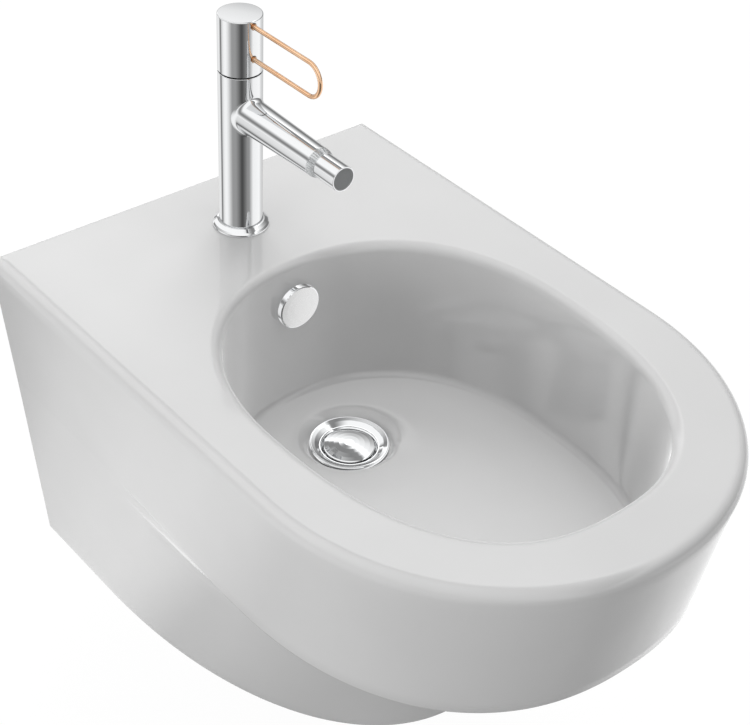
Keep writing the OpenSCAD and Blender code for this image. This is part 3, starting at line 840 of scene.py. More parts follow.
def ring_of(
    name: str, count: int, ring_r: float, item_r: float, item_h: float, lean: float
) -> tuple[RuleTree, Socket]:
    """Build the tree of small rods spaced evenly on a ring about Z, which lean in towards the axis.

    Args:
        name: Name of the tree.
        count: Number of rods.
        ring_r: Radius of the ring of rod centres in metres.
        item_r: Radius of a rod.
        item_h: Length of a rod.
        lean: Way in over way up.

    Returns:
        The tree and its result socket.
    """
    labels = ("Count", "Ring radius", "Rod radius", "Rod length", "Lean")
    rule = RuleTree(name, dict(zip(labels, (count, ring_r, item_r, item_h, lean))))
    ring = rule.add(
        "GeometryNodeMeshCircle", {"fill_type": "NONE"},
        {"Vertices": rule.given("Count"), "Radius": rule.given("Ring radius")},
    )
    item = rule.add(
        "GeometryNodeMeshCylinder", {"fill_type": "NGON"},
        {"Vertices": 12, "Radius": rule.given("Rod radius"), "Depth": rule.given("Rod length")},
    )
    lean_in = rule.sum_up("MULTIPLY", rule.given("Lean"), -1.0)
    way_in = rule.sum_up("DIVIDE", lean_in, rule.given("Ring radius"))
    spot = rule.add("GeometryNodeInputPosition").outputs["Position"]
    inward = rule.add("ShaderNodeVectorMath", {"operation": "SCALE"}, {"Vector": spot, "Scale": way_in})
    upward = rule.add(
        "ShaderNodeVectorMath", {"operation": "ADD"}, {0: inward.outputs["Vector"], 1: (0.0, 0.0, 1.0)}
    )
    turn = rule.add("FunctionNodeAlignRotationToVector", {"axis": "Z"}, {"Vector": upward.outputs["Vector"]})
    return rule, rule.copies(ring.outputs["Mesh"], item.outputs["Mesh"], "Rotation", turn.outputs["Rotation"])


def place_mesh(piece: Piece, place: Matrix) -> Piece:
    """Move a piece's mesh by a local frame in millimetres, and leave its object at the origin.

    Args:
        piece: Object to move.
        place: Local frame in millimetres.

    Returns:
        The same object.
    """
    metres = place.copy()
    metres.translation = metres.translation * MM
    piece.data.transform(metres)
    piece.data.update()
    return piece


# ---- China body ----


@dataclass
class ChinaBody:
    """Hollow china casting: a D-shaped rim, an egg-shaped basin, a raked bowl and a skirt below it."""

    deck_z: float = 80.0
    half_w: float = 182.5
    length: float = 535.0
    nose: float = 194.0
    nose_pow: float = 2.06
    bowl_h: float = 125.0
    bowl_half: float = 177.3
    bowl_len: float = 512.5
    bowl_nose: float = 208.5
    bowl_pow: float = 2.29
    body_h: float = 293.0
    skirt_half: float = 155.5
    skirt_len: float = 366.0
    skirt_pow: float = 2.2
    skirt_lean: float = 0.11
    knee_pow: float = 2.6
    merge_from: float = 140.0
    merge_len: float = 160.0
    rim_r: float = 9.0
    back_r: float = 2.5
    lower_r: float = 3.0
    wall: float = 10.0
    deck_t: float = 14.0
    back_t: float = 12.0
    basin_back: float = 131.6
    basin_len: float = 356.0
    basin_half: float = 140.0
    basin_split: float = 0.453
    rear_pow: float = 2.21
    front_pow: float = 2.48
    basin_depth: float = 124.5
    floor_slope: float = 0.04
    edge_r: float = 7.8
    wall_draft: float = 2.0
    floor_r: float = 6.0
    waste_y: float = 212.5
    flange_r: float = 31.5
    flange_drop: float = 3.5
    dish: tuple[tuple[float, float], ...] = (
        (9.5, 0.0), (8.4, 0.35), (7.0, 1.1), (5.4, 2.2), (3.9, 3.5), (2.6, 5.0), (1.6, 6.6),
    )
    waste_hole_r: float = 23.5
    boss_drop: float = 41.5
    tap_y: float = 69.0
    tap_hole_r: float = 17.5
    overflow_z: float = 43.0
    bush_r: float = 9.95
    bolt_gap: float = 180.0
    sleeve_hole_r: float = 10.95
    pit_width: float = 0.965
    pit_from: float = 185.0
    pit_len: float = 45.0
    pit_drop: float = 12.0
    hollow_r: float = 7.0
    cove_r: float = 8.0
    knee_drop: float = 23.0
    seat_drop: float = 5.0
    boss_wall: float = 6.5
    duct_outer: float = 48.0
    duct_inner: float = 30.0
    duct_wall: float = 7.0
    duct_front: float = 4.0
    duct_back: float = 19.0
    duct_up: float = 13.0
    notch_half: float = 78.0
    notch_r: float = 18.0
    notch_up: float = 8.0
    back_cols: int = 48
    side_cols: int = 46
    nose_cols: int = 172

    def __post_init__(self) -> None:
        """Work out the sizes that follow from the others."""
        self.side_lean = (self.half_w - self.skirt_half) / self.body_h
        self.skirt_nose = self.skirt_len * 0.765
        self.knee_h = self.bowl_h + self.knee_drop
        self.knee_half = self.half_w - self.side_lean * self.knee_h
        self.knee_len = self.skirt_len + self.skirt_lean * (self.body_h - self.knee_h)
        self.knee_nose = self.knee_len - self.skirt_len * 0.58
        self.merge_half = self.half_w - self.side_lean * self.bowl_h
        self.basin_rear = self.basin_len * self.basin_split
        self.basin_front = self.basin_len - self.basin_rear
        self.basin_c = -(self.basin_back + self.basin_rear)
        self.floor_in = self.edge_r + self.wall_draft
        self.flange_z = self.deck_z - self.basin_depth - self.flange_drop
        self.seat_z = self.flange_z - self.seat_drop
        self.boss_z = self.seat_z - self.boss_drop
        rim = self.d_ring(self.half_w, self.length, self.nose, self.nose_pow, 0.0)
        self.rays = np.arctan2(rim[:, 1] - self.basin_c, rim[:, 0])

    @staticmethod
    def ease(t: np.ndarray) -> np.ndarray:
        """Return a smooth step from 0 to 1."""
        u = np.clip(t, 0, 1)
        return u * u * (3 - 2 * u)

    def d_ring(self, half: float, length: float, nose: float, power: float, back: float) -> np.ndarray:
        """Return a flat-backed outline with straight sides and a super-ellipse nose.

        Args:
            half: Half width.
            length: Projection from the wall.
            nose: Length of the curved end.
            power: Squareness of the curved end.
            back: Y of the back line.

        Returns:
            X and Y of each column, anticlockwise from above.
        """
        straight = -(length - nose)
        k = np.arange(self.back_cols) / self.back_cols
        rear = np.column_stack([half * (1 - 2 * k), np.full_like(k, back)])
        k = np.arange(self.side_cols) / self.side_cols
        left = np.column_stack([np.full_like(k, -half), back + (straight - back) * k])
        t = np.pi * np.arange(self.nose_cols) / self.nose_cols
        c, s = np.cos(t), np.sin(t)
        front = np.column_stack(
            [-half * np.sign(c) * np.abs(c) ** (2 / power), straight - nose * np.abs(s) ** (2 / power)]
        )
        right = np.column_stack([np.full_like(k, half), straight + (back - straight) * k])
        return np.vstack([rear, left, front, right])

    @staticmethod
    def lift(ring: np.ndarray, height: float | np.ndarray) -> np.ndarray:
        """Return a flat outline as points at a height."""
        return np.column_stack([ring[:, 0], ring[:, 1], np.broadcast_to(height, len(ring))])

    def rim(self, inset: float, back: float, height: float) -> np.ndarray:
        """Return the rim's outline, moved in by an inset."""
        ring = self.d_ring(self.half_w - inset, self.length - inset, self.nose - inset, self.nose_pow, back)
        return self.lift(ring, height)

    def apart(self, ring: np.ndarray) -> np.ndarray:
        """Return the share of the bowl's own edge: the skirt's side runs into it near the wall."""
        return self.ease((-ring[:, 1] - self.merge_from) / self.merge_len)

    def edge(self, inset: float, back: float, height: float, fade: float = 0.0) -> np.ndarray:
        """Return the bowl's lower edge.

        Args:
            inset: Distance inside the edge, all round.
            back: Y of the back line.
            height: Height of the outline.
            fade: Further distance inside, which fades where the skirt runs into the bowl.

        Returns:
            The outline.
        """
        both = inset + fade
        ring = self.d_ring(
            self.bowl_half - both, self.bowl_len - both, self.bowl_nose - both, self.bowl_pow, back
        )
        slope = (self.half_w - self.merge_half) / self.bowl_h
        merged = self.merge_half + slope * (height - self.deck_z + self.bowl_h)
        narrow = (merged - inset) / (self.bowl_half - both)
        ring[:, 0] *= narrow + (1 - narrow) * self.apart(ring)
        return self.lift(ring, height)

    def bowl(self, inset: float, back: float, depth: float) -> np.ndarray:
        """Return the bowl's outline at a depth below the deck."""
        share = (depth - self.rim_r) / (self.bowl_h - self.rim_r)
        low = self.edge(inset, back, self.deck_z - self.bowl_h)
        ring = self.rim(inset, back, 0) * (1 - share) + low * share
        ring[:, 2] = self.deck_z - depth
        return ring

    def skirt(self, inset: float, back: float, depth: float) -> np.ndarray:
        """Return the skirt's outline at a depth below the deck."""
        share = (depth - self.knee_h) / (self.body_h - self.knee_h)
        half = self.knee_half + (self.skirt_half - self.knee_half) * share
        length = self.knee_len + (self.skirt_len - self.knee_len) * share
        nose = self.knee_nose + (self.skirt_nose - self.knee_nose) * share
        power = self.knee_pow + (self.skirt_pow - self.knee_pow) * share
        ring = self.d_ring(half - inset, length - inset, nose - inset, power, back)
        return self.lift(ring, self.deck_z - depth)

    def egg(self, inset: float, height: float | np.ndarray = 0.0) -> np.ndarray:
        """Return the basin's egg outline, one point on the ray through each column."""
        rear = np.sin(self.rays) >= 0
        power = np.where(rear, self.rear_pow, self.front_pow)
        reach = np.where(rear, self.basin_rear, self.basin_front) - inset
        r = (
            (np.abs(np.cos(self.rays)) / (self.basin_half - inset)) ** power
            + (np.abs(np.sin(self.rays)) / reach) ** power
        ) ** (-1 / power)
        ring = np.column_stack([r * np.cos(self.rays), self.basin_c + r * np.sin(self.rays)])
        return self.lift(ring, height)

    def floor_height(self, y: np.ndarray) -> np.ndarray:
        """Return the basin floor's height at a distance from the wall."""
        return self.deck_z - self.basin_depth + self.floor_slope * (-self.waste_y - y)

    def on_floor(self, ring: np.ndarray, up: float) -> np.ndarray:
        """Return an outline laid on the sloping floor, or above it."""
        return self.lift(ring[:, :2], self.floor_height(ring[:, 1]) + up)

    def round_waste(self, radius: float, height: float = 0.0) -> np.ndarray:
        """Return a circle about the waste, one point for each column."""
        base = self.egg(self.floor_in + self.floor_r)
        arm = base[:, :2] + np.array([0.0, self.waste_y])
        arm /= np.linalg.norm(arm, axis=1)[:, None]
        return self.lift(arm * radius - np.array([0.0, self.waste_y]), height)

    def underside(self, low: np.ndarray, high: np.ndarray) -> Rows:
        """Return the rows that sweep from the skirt's knee out to the bowl's lower edge.

        Args:
            low: The knee's outline.
            high: The outline of the bowl's lower edge.

        Returns:
            Rows between the two.
        """
        knots = np.arange(5.0)
        out = np.array([0.0, 0.015, 0.07, 0.3, 1.0])
        up = np.array([0.0, 5.0, 9.0, 13.0, self.knee_drop])
        rows = []
        free = self.apart(high)
        for w in np.linspace(0, 4, 29)[1:-1]:
            share, rise = (float(smooth_through(knots, v, w)) for v in (out, up))
            plain = rise / up[-1]
            part = (plain + (share - plain) * free)[:, None]
            row = low * (1 - part) + high * part
            row[:, 2] = low[:, 2] + rise
            rows.append(row)
        return rows

    def skin(self) -> Rows:
        """Return the rows of the outer skin, from the lower rim over the deck to the waste's seat."""
        rows = [self.skirt(inset, 0, self.body_h - rise) for inset, rise in bend(self.lower_r, 0, 90, 7)]
        rows += [self.skirt(0, 0, d) for d in np.linspace(self.body_h - self.lower_r, self.knee_h, 14)[1:]]
        base = self.deck_z - self.bowl_h
        rows += self.underside(rows[-1], self.edge(0, 0, base, self.lower_r))
        rows += [self.edge(0, 0, base + rise, inset) for inset, rise in bend(self.lower_r, 0, 75, 6)]
        rows += [self.bowl(0, 0, d) for d in np.linspace(self.bowl_h - self.lower_r, self.rim_r, 12)]
        rows += [
            self.rim(inset, -self.back_r * inset / self.rim_r, self.deck_z - drop)
            for inset, drop in bend(self.rim_r, 90, 0, 15)[1:]
        ]
        rows += blends(rows[-1], self.egg(0, self.deck_z), (0.02, 0.3, 0.6, 0.9, 0.98))
        rows += [
            self.egg(self.edge_r - rest, self.deck_z - drop) for drop, rest in bend(self.edge_r, 90, 0, 15)
        ]
        wall_low = self.on_floor(self.egg(self.floor_in), self.floor_r)
        rows += blends(rows[-1], wall_low, np.linspace(0, 1, 12)[1:])
        rows += [
            self.on_floor(self.egg(self.floor_in + inset), up)
            for up, inset in bend(self.floor_r, 0, 90, 11)[1:]
        ]
        dish = self.on_floor(self.round_waste(self.flange_r + self.dish[0][0]), 0)
        rows += blends(rows[-1], dish, (0.03, 0.3, 0.6, 0.85, 1.0))
        for reach, drop in self.dish[1:]:
            row = self.round_waste(self.flange_r + reach)
            rows.append(self.lift(row[:, :2], self.floor_height(row[:, 1]) - drop))
        rows.append(self.round_waste(self.flange_r + 1, self.seat_z))
        rows.append(self.round_waste(self.waste_hole_r - 4, self.seat_z))
        return rows

    def skirt_hollow(self) -> Rows:
        """Return the rows of the hollow inside the skirt, open below."""
        wide = self.skirt(self.wall, -self.back_t, self.knee_h)
        tight = self.skirt(self.wall + self.cove_r, -self.back_t - self.cove_r, self.knee_h)
        top = self.on_floor(wide, -self.wall)
        cap = self.on_floor(tight, -self.wall)
        low = self.lift(top[:, :2], top[:, 2] - self.cove_r)
        cove = top * 0.7 + cap * 0.3
        cove[:, 2] = top[:, 2] - 0.3 * self.cove_r
        return [self.skirt(self.wall, -self.back_t, self.body_h + 1), wide, low, cove, cap]

    def rim_hollow(self) -> Rows:
        """Return the closed rows of the hollow between the outer wall and the basin wall."""
        back = -self.back_t - 0.5
        inner = self.egg(self.edge_r - self.wall)
        sink = self.ease((inner[:, 1] + self.pit_from) / self.pit_len)
        shelf = self.deck_z - self.bowl_h + self.wall
        pit = self.deck_z - self.knee_h - self.pit_drop
        low = shelf + (pit - shelf) * sink
        side = 1 + (self.pit_width - 1) * sink
        roof = self.deck_z - self.deck_t
        r = self.hollow_r
        o_top = self.bowl(self.wall, back, self.deck_t + r)
        o_low = self.bowl(self.wall, back, self.bowl_h - self.wall)
        tight = self.egg(self.edge_r - self.wall - r)

        def between(
            a: np.ndarray, b: np.ndarray, share: float, z: float | np.ndarray,
            narrow: float | np.ndarray = 1.0,
        ) -> np.ndarray:
            ring = a[:, :2] * (1 - share) + b[:, :2] * share
            ring[:, 0] = ring[:, 0] * narrow
            return self.lift(ring, z)

        return [
            between(o_low, o_low, 0, low + r, side),
            o_top,
            *(between(o_top, tight, share, roof) for share in (0.3, 0.9)),
            self.lift(inner[:, :2], roof - r),
            self.lift(inner[:, :2], low + r),
            *(between(inner, o_low, share, low, side) for share in (0.25, 0.75)),
        ]

    def duct(self, width: float, inset: float, top: float) -> Piece:
        """Return the overflow duct behind the basin wall and under its floor, grown or shrunk by an inset."""
        front = -(self.basin_back + self.edge_r) + self.duct_front + inset
        rear = -(self.basin_back + self.edge_r - self.wall - self.duct_back) - inset
        low = self.boss_z + self.duct_up + inset
        shaft = block("duct_shaft", (-width / 2, front, low), (width / 2, rear, top))
        run = block("duct_run", (-width / 2, -self.waste_y, low), (width / 2, rear, self.seat_z - 1 - inset))
        return carve(shaft, run, Carve.JOIN)

    def pipe_notch(self) -> Piece:
        """Return the cutter for the opening in the back wall that the pipes pass through."""
        half, r = self.notch_half, self.notch_r
        top, low = self.boss_z + self.notch_up, self.deck_z - self.body_h - 1
        outline = [(half, low)]
        for middle, first in ((half - r, 0), (-half + r, 90)):
            for a in np.radians(np.arange(first, first + 91, 10)):
                outline.append((middle + r * math.cos(a), top - r + r * math.sin(a)))
        outline.append((-half, low))
        n = len(outline)
        verts = np.array([(x, y, z) for y in (1.0, -self.back_t - 1) for x, z in outline])
        faces: Faces = [tuple(range(n - 1, -1, -1)), tuple(range(n, 2 * n))]
        faces += [(i, (i + 1) % n, n + (i + 1) % n, n + i) for i in range(n)]
        return mesh_object("pipe_notch", verts, faces)

    def build(self) -> Piece:
        """Build the hollow casting with all its holes."""
        casting = lofted("china_casting", self.skin())
        skirt = lofted("skirt_hollow", self.skirt_hollow())
        hollow = carve(skirt, lofted("rim_hollow", self.rim_hollow(), closed=True), Carve.JOIN)
        waste, tap = at(0, -self.waste_y, 0), at(0, -self.tap_y, 0)
        carve(hollow, self.duct(self.duct_outer, 0.0, self.deck_z - self.deck_t + 1))
        carve(hollow, rod("boss", self.flange_r + self.boss_wall, self.boss_z, self.seat_z, waste, 96))
        carve(casting, hollow)
        carve(casting, self.duct(self.duct_inner, self.duct_wall, self.overflow_z + self.duct_up))
        carve(casting, rod("tap_hole", self.tap_hole_r, self.deck_z - 20, self.deck_z + 2, tap))
        carve(casting, rod("waste_hole", self.waste_hole_r, self.boss_z - 1, self.seat_z + 1, waste))
        spot = forward(0, -self.basin_back, self.overflow_z)
        carve(casting, rod("overflow_hole", self.bush_r, -8, 20, spot))
        for side in (-1, 1):
            spot = forward(side * self.bolt_gap / 2, 0, 0)
            carve(casting, rod("sleeve_hole", self.sleeve_hole_r, -2, self.back_t + 2, spot))
        carve(casting, self.pipe_notch())
        return seat(shade(casting, 40.0), Body.BASE, CHINA, ("china_body",))


def smooth_through(knots: np.ndarray, values: np.ndarray, where: float) -> float:
    """Return a curve through values that never overshoots between them.

    Args:
        knots: Ascending places of the values.
        values: The values.
        where: Place at which the curve is wanted.

    Returns:
        The curve's value.
    """
    step = np.diff(knots)
    rise = np.diff(values) / step
    slope = np.empty_like(values, dtype=float)
    slope[0], slope[-1] = rise[0], rise[-1]
    for i in range(1, len(values) - 1):
        both = rise[i - 1] * rise[i]
        slope[i] = 0.0 if both <= 0 else 2 * both / (rise[i - 1] + rise[i])
    i = int(np.clip(np.searchsorted(knots, where) - 1, 0, len(step) - 1))
    t = (where - knots[i]) / step[i]
    h = step[i]
    return float(
        values[i] * (1 + 2 * t) * (1 - t) ** 2
        + slope[i] * h * t * (1 - t) ** 2
        + values[i + 1] * t * t * (3 - 2 * t)
        + slope[i + 1] * h * t * t * (t - 1)
    )


# ---- Mixer ----


@dataclass
class Mixer:
    """Single-lever mixer: foot ring, column with a tapered spout, cylindrical head and wire handle."""

    axis_y: float = -69.0
    deck_z: float = 80.0
    column_r: float = 17.0
    column_low: float = 82.5
    seam_z: float = 214.4
    pivot_z: float = 202.4
    head_top: float = 260.0
    head_gap: float = 0.6
    head_dome: float = 0.3
    spout_z: float = 181.5
    spout_root_r: float = 13.7
    spout_tip_r: float = 11.5
    socket_r: float = 10.35
    socket_deep: float = 5.0
    seat_bore_r: float = 8.3
    seat_bore_deep: float = 8.0
    root_reach: float = 11.9
    fillet: float = 3.8
    ball_y: float = -164.073
    foot_r: float = 22.2
    foot_h: float = 5.6
    wire_r: float = 1.75
    wire_top: float = 255.5
    wire_gap: float = 26.0
    wire_reach: float = 97.0
    stem_top: float = 28.0
    stem_hole_r: float = 4.05
    screw_hole_r: float = 2.55
    hole_slip: float = 0.12
    hole_in: float = 9.0
    sink_deep: float = 1.3
    screw_up: float = 18.0
    nut_neck_r: float = 11.5
    nut_r: float = 14.45
    nut_drop: float = 8.0
    wire_root: float = 8.0

    @property
    def dome_r(self) -> float:
        """Radius of the ball shape under the head."""
        return math.hypot(self.column_r, self.seam_z - self.pivot_z)

    def foot(self) -> None:
        """Build the foot ring with its soft outer lip and hollow slope."""
        r = self.foot_r
        profile = rounded(
            [
                (14.0, -4.0), (17.2, -4.0), (17.2, 0.0), (r - 0.6, 0.0, 0.3), (r, 0.7, 0.5), (r, 1.7, 0.6),
                (r - 1.1, 3.1, 1.2), (self.column_r + 1.6, self.foot_h - 0.35, 0.4),
                (self.column_r + 0.5, self.foot_h, 0.25), (self.column_r + 0.05, self.foot_h - 0.3),
                (self.column_r + 0.05, 2.5), (14.0, 2.5),
            ],
            5,
        )
        ring = turned("foot_ring_piece", profile, at(0, self.axis_y, self.deck_z), 128, closed=True)
        seat(ring, Body.BASE, CHROME, ("foot_ring",))

    def spout_radius(self, y: float) -> float:
        """Return the spout's radius at a distance from the wall."""
        start = self.axis_y - self.root_reach
        end = self.ball_y - 0.5
        share = min(max((y - start) / (end - start), 0.0), 1.0)
        return self.spout_root_r + (self.spout_tip_r - self.spout_root_r) * share

    def column(self) -> None:
        """Build the column and the spout with a cast fillet between them."""
        top = self.seam_z - self.column_low
        column = turned(
            "column", rounded([(0, 0), (self.column_r, 0, 0.2), (self.column_r, top, 0.35), (0, top)], 4),
            at(0, self.axis_y, self.column_low), 192,
        )
        tip = self.ball_y - 0.5
        sides = 128
        angles = 2 * math.pi * np.arange(sides) / sides
        cos, sin = np.cos(angles), np.sin(angles)

        def ring(radius: np.ndarray | float, y: np.ndarray | float) -> np.ndarray:
            spread = np.broadcast_to(radius, sides)
            return np.column_stack([spread * cos, np.broadcast_to(y, sides), self.spout_z + spread * sin])

        def on_column(radius: np.ndarray | float) -> np.ndarray:
            x = np.clip(np.broadcast_to(radius, sides) * cos, -self.column_r, self.column_r)
            return self.axis_y - np.sqrt(self.column_r**2 - x**2)

        root = self.spout_root_r
        wide = root + self.fillet * (1 - 0.35 * np.abs(cos) ** 2)
        foot = ring(wide, on_column(wide) - 0.01)
        corner = ring(root, on_column(root))
        shoulder_y = on_column(root) - self.fillet
        shoulder_r = np.array([self.spout_radius(y) for y in shoulder_y])
        shoulder = ring(shoulder_r, shoulder_y)
        buried = ring(wide - 0.5, on_column(wide) + 2.0)
        rows = [ring(2.0, self.axis_y), buried]
        rows += [
            foot * (1 - t) ** 2 + corner * 2 * t * (1 - t) + shoulder * t**2 for t in np.linspace(0, 1, 13)
        ]
        far = shoulder_y.min() - 1.0
        rows.append(ring(self.spout_radius(far), far))
        for y in (*np.linspace(far, tip + 0.7, 8)[1:], tip + 0.5):
            rows.append(ring(self.spout_radius(y), y))
        for a in np.radians(np.linspace(0, 90, 6)[1:]):
            rows.append(ring(self.spout_tip_r - 0.45 * (1 - math.cos(a)), tip + 0.5 - 0.5 * math.sin(a)))
        socket, bore, deep = self.socket_r, self.seat_bore_r, tip + self.socket_deep
        bottom = deep + self.seat_bore_deep
        rows += [ring(socket, tip), ring(socket, deep), ring(bore, deep), ring(bore, bottom)]
        spout = shade(lofted("spout", rows, clockwise=True), 35.0)
        seat(merge("mixer_column", [column, spout]), Body.BASE, CHROME, ("tap_body",))

    def joint_nut(self) -> None:
        """Build the ball-topped nut that shows as a bright line under the head."""
        neck, outer, low = self.nut_neck_r, self.nut_r, self.seam_z - self.nut_drop
        ends = (math.asin(r / self.dome_r) for r in (outer, neck))
        arc = sphere_arc(self.dome_r, *ends, 12, self.pivot_z)
        profile = [(neck, low), (outer, low), *arc]
        nut = turned("dome_nut_piece", profile, at(0, self.axis_y, 0), 128, closed=True)
        seat(nut, Body.BASE, CHROME, ("dome_nut",))

    def head(self) -> None:
        """Build the head: a cylinder with a crisp small rounding, hollow below for the ball shape."""
        r, inner = self.column_r, self.dome_r + self.head_gap
        rim_z = math.sqrt(inner**2 - r**2)
        top, dome, stem = self.head_top - self.pivot_z, self.head_dome, self.stem_hole_r
        arc = sphere_arc(inner, math.asin(stem / inner), math.asin((r - 0.25) / inner), 20)
        outside = rounded(
            [(r - 0.25, rim_z + 0.05), (r, rim_z + 0.35, 0.2), (r, top - dome, 0.8)]
            + [(r * t, top - dome * t * t) for t in (0.9, 0.72, 0.54, 0.36, 0.18, 0.0)]
        )
        up = self.seam_z - self.pivot_z + self.stem_top + 0.5
        profile = [(0, up), (stem, up), *arc, *outside]
        head = turned("mixer_head", profile, at(0, self.axis_y, self.pivot_z), 192)
        hole_r, sunk, proud = self.wire_r + self.hole_slip, r - self.sink_deep, r + 0.1
        for z in (self.wire_top, self.wire_top - self.wire_gap):
            spot = forward(0, self.axis_y, z)
            carve(head, rod("wire_hole", hole_r, self.hole_in, r + 3.0, spot, 48))
            sink = [(0, sunk), (hole_r, sunk), (self.wire_r + self.sink_deep, proud), (0, proud)]
            carve(head, turned("countersink", sink, spot, 48))
        back = at(0, self.axis_y, self.seam_z + self.screw_up) @ turned_by(-90, "X")
        carve(head, rod("screw_hole", self.screw_hole_r, 3.5, r + 3.0, back, 48))
        seat(shade(head, 35.0), Body.HEAD, CHROME, ("tap_head",))

    def handle(self) -> None:
        """Build the wire handle from its rule."""
        rule, result = wire_loop_tree(
            self.wire_r * MM, self.wire_gap / 2 * MM, (self.axis_y - self.wire_root) * MM,
            (self.axis_y - self.wire_reach + self.wire_r) * MM, self.wire_top * MM,
            (self.wire_top - self.wire_gap) * MM,
        )
        wire = rule.piece("wire_handle_piece", result, ROSE_GOLD, 50.0)
        seat(wire, Body.HEAD, None, ("wire_handle",))

    def inside(self) -> None:
        """Carry over the pieces inside the mixer and under the deck."""
        carry_over(
            (Body.BASE, "nylon", NYLON, "cartridge_cup"),
            (Body.BASE, "discs", DISC_CERAMIC, "cartridge_discs"),
            (Body.TURN, "grey_plastic", GREY_ACETAL, "cartridge_carrier"),
            (Body.TURN, "steel", STEEL, "pivot_pin"),
            (Body.HEAD, "brass", BRASS, "lever_stem"),
            (Body.HEAD, "steel", STEEL, "grub_screw"),
            (Body.BASE, "rubber", RUBBER, "foot_seal"),
            (Body.BASE, "brass", BRASS, "tap_stud"),
            (Body.BASE, "rubber", RUBBER, "clamp_rubber"),
            (Body.BASE, "steel", STEEL, "clamp_plate"),
            (Body.BASE, "brass", BRASS, "stud_nut"),
        )

    def build(self) -> None:
        """Build the whole mixer apart from its swivel nozzle."""
        self.foot()
        self.column()
        self.joint_nut()
        self.head()
        self.handle()
        self.inside()


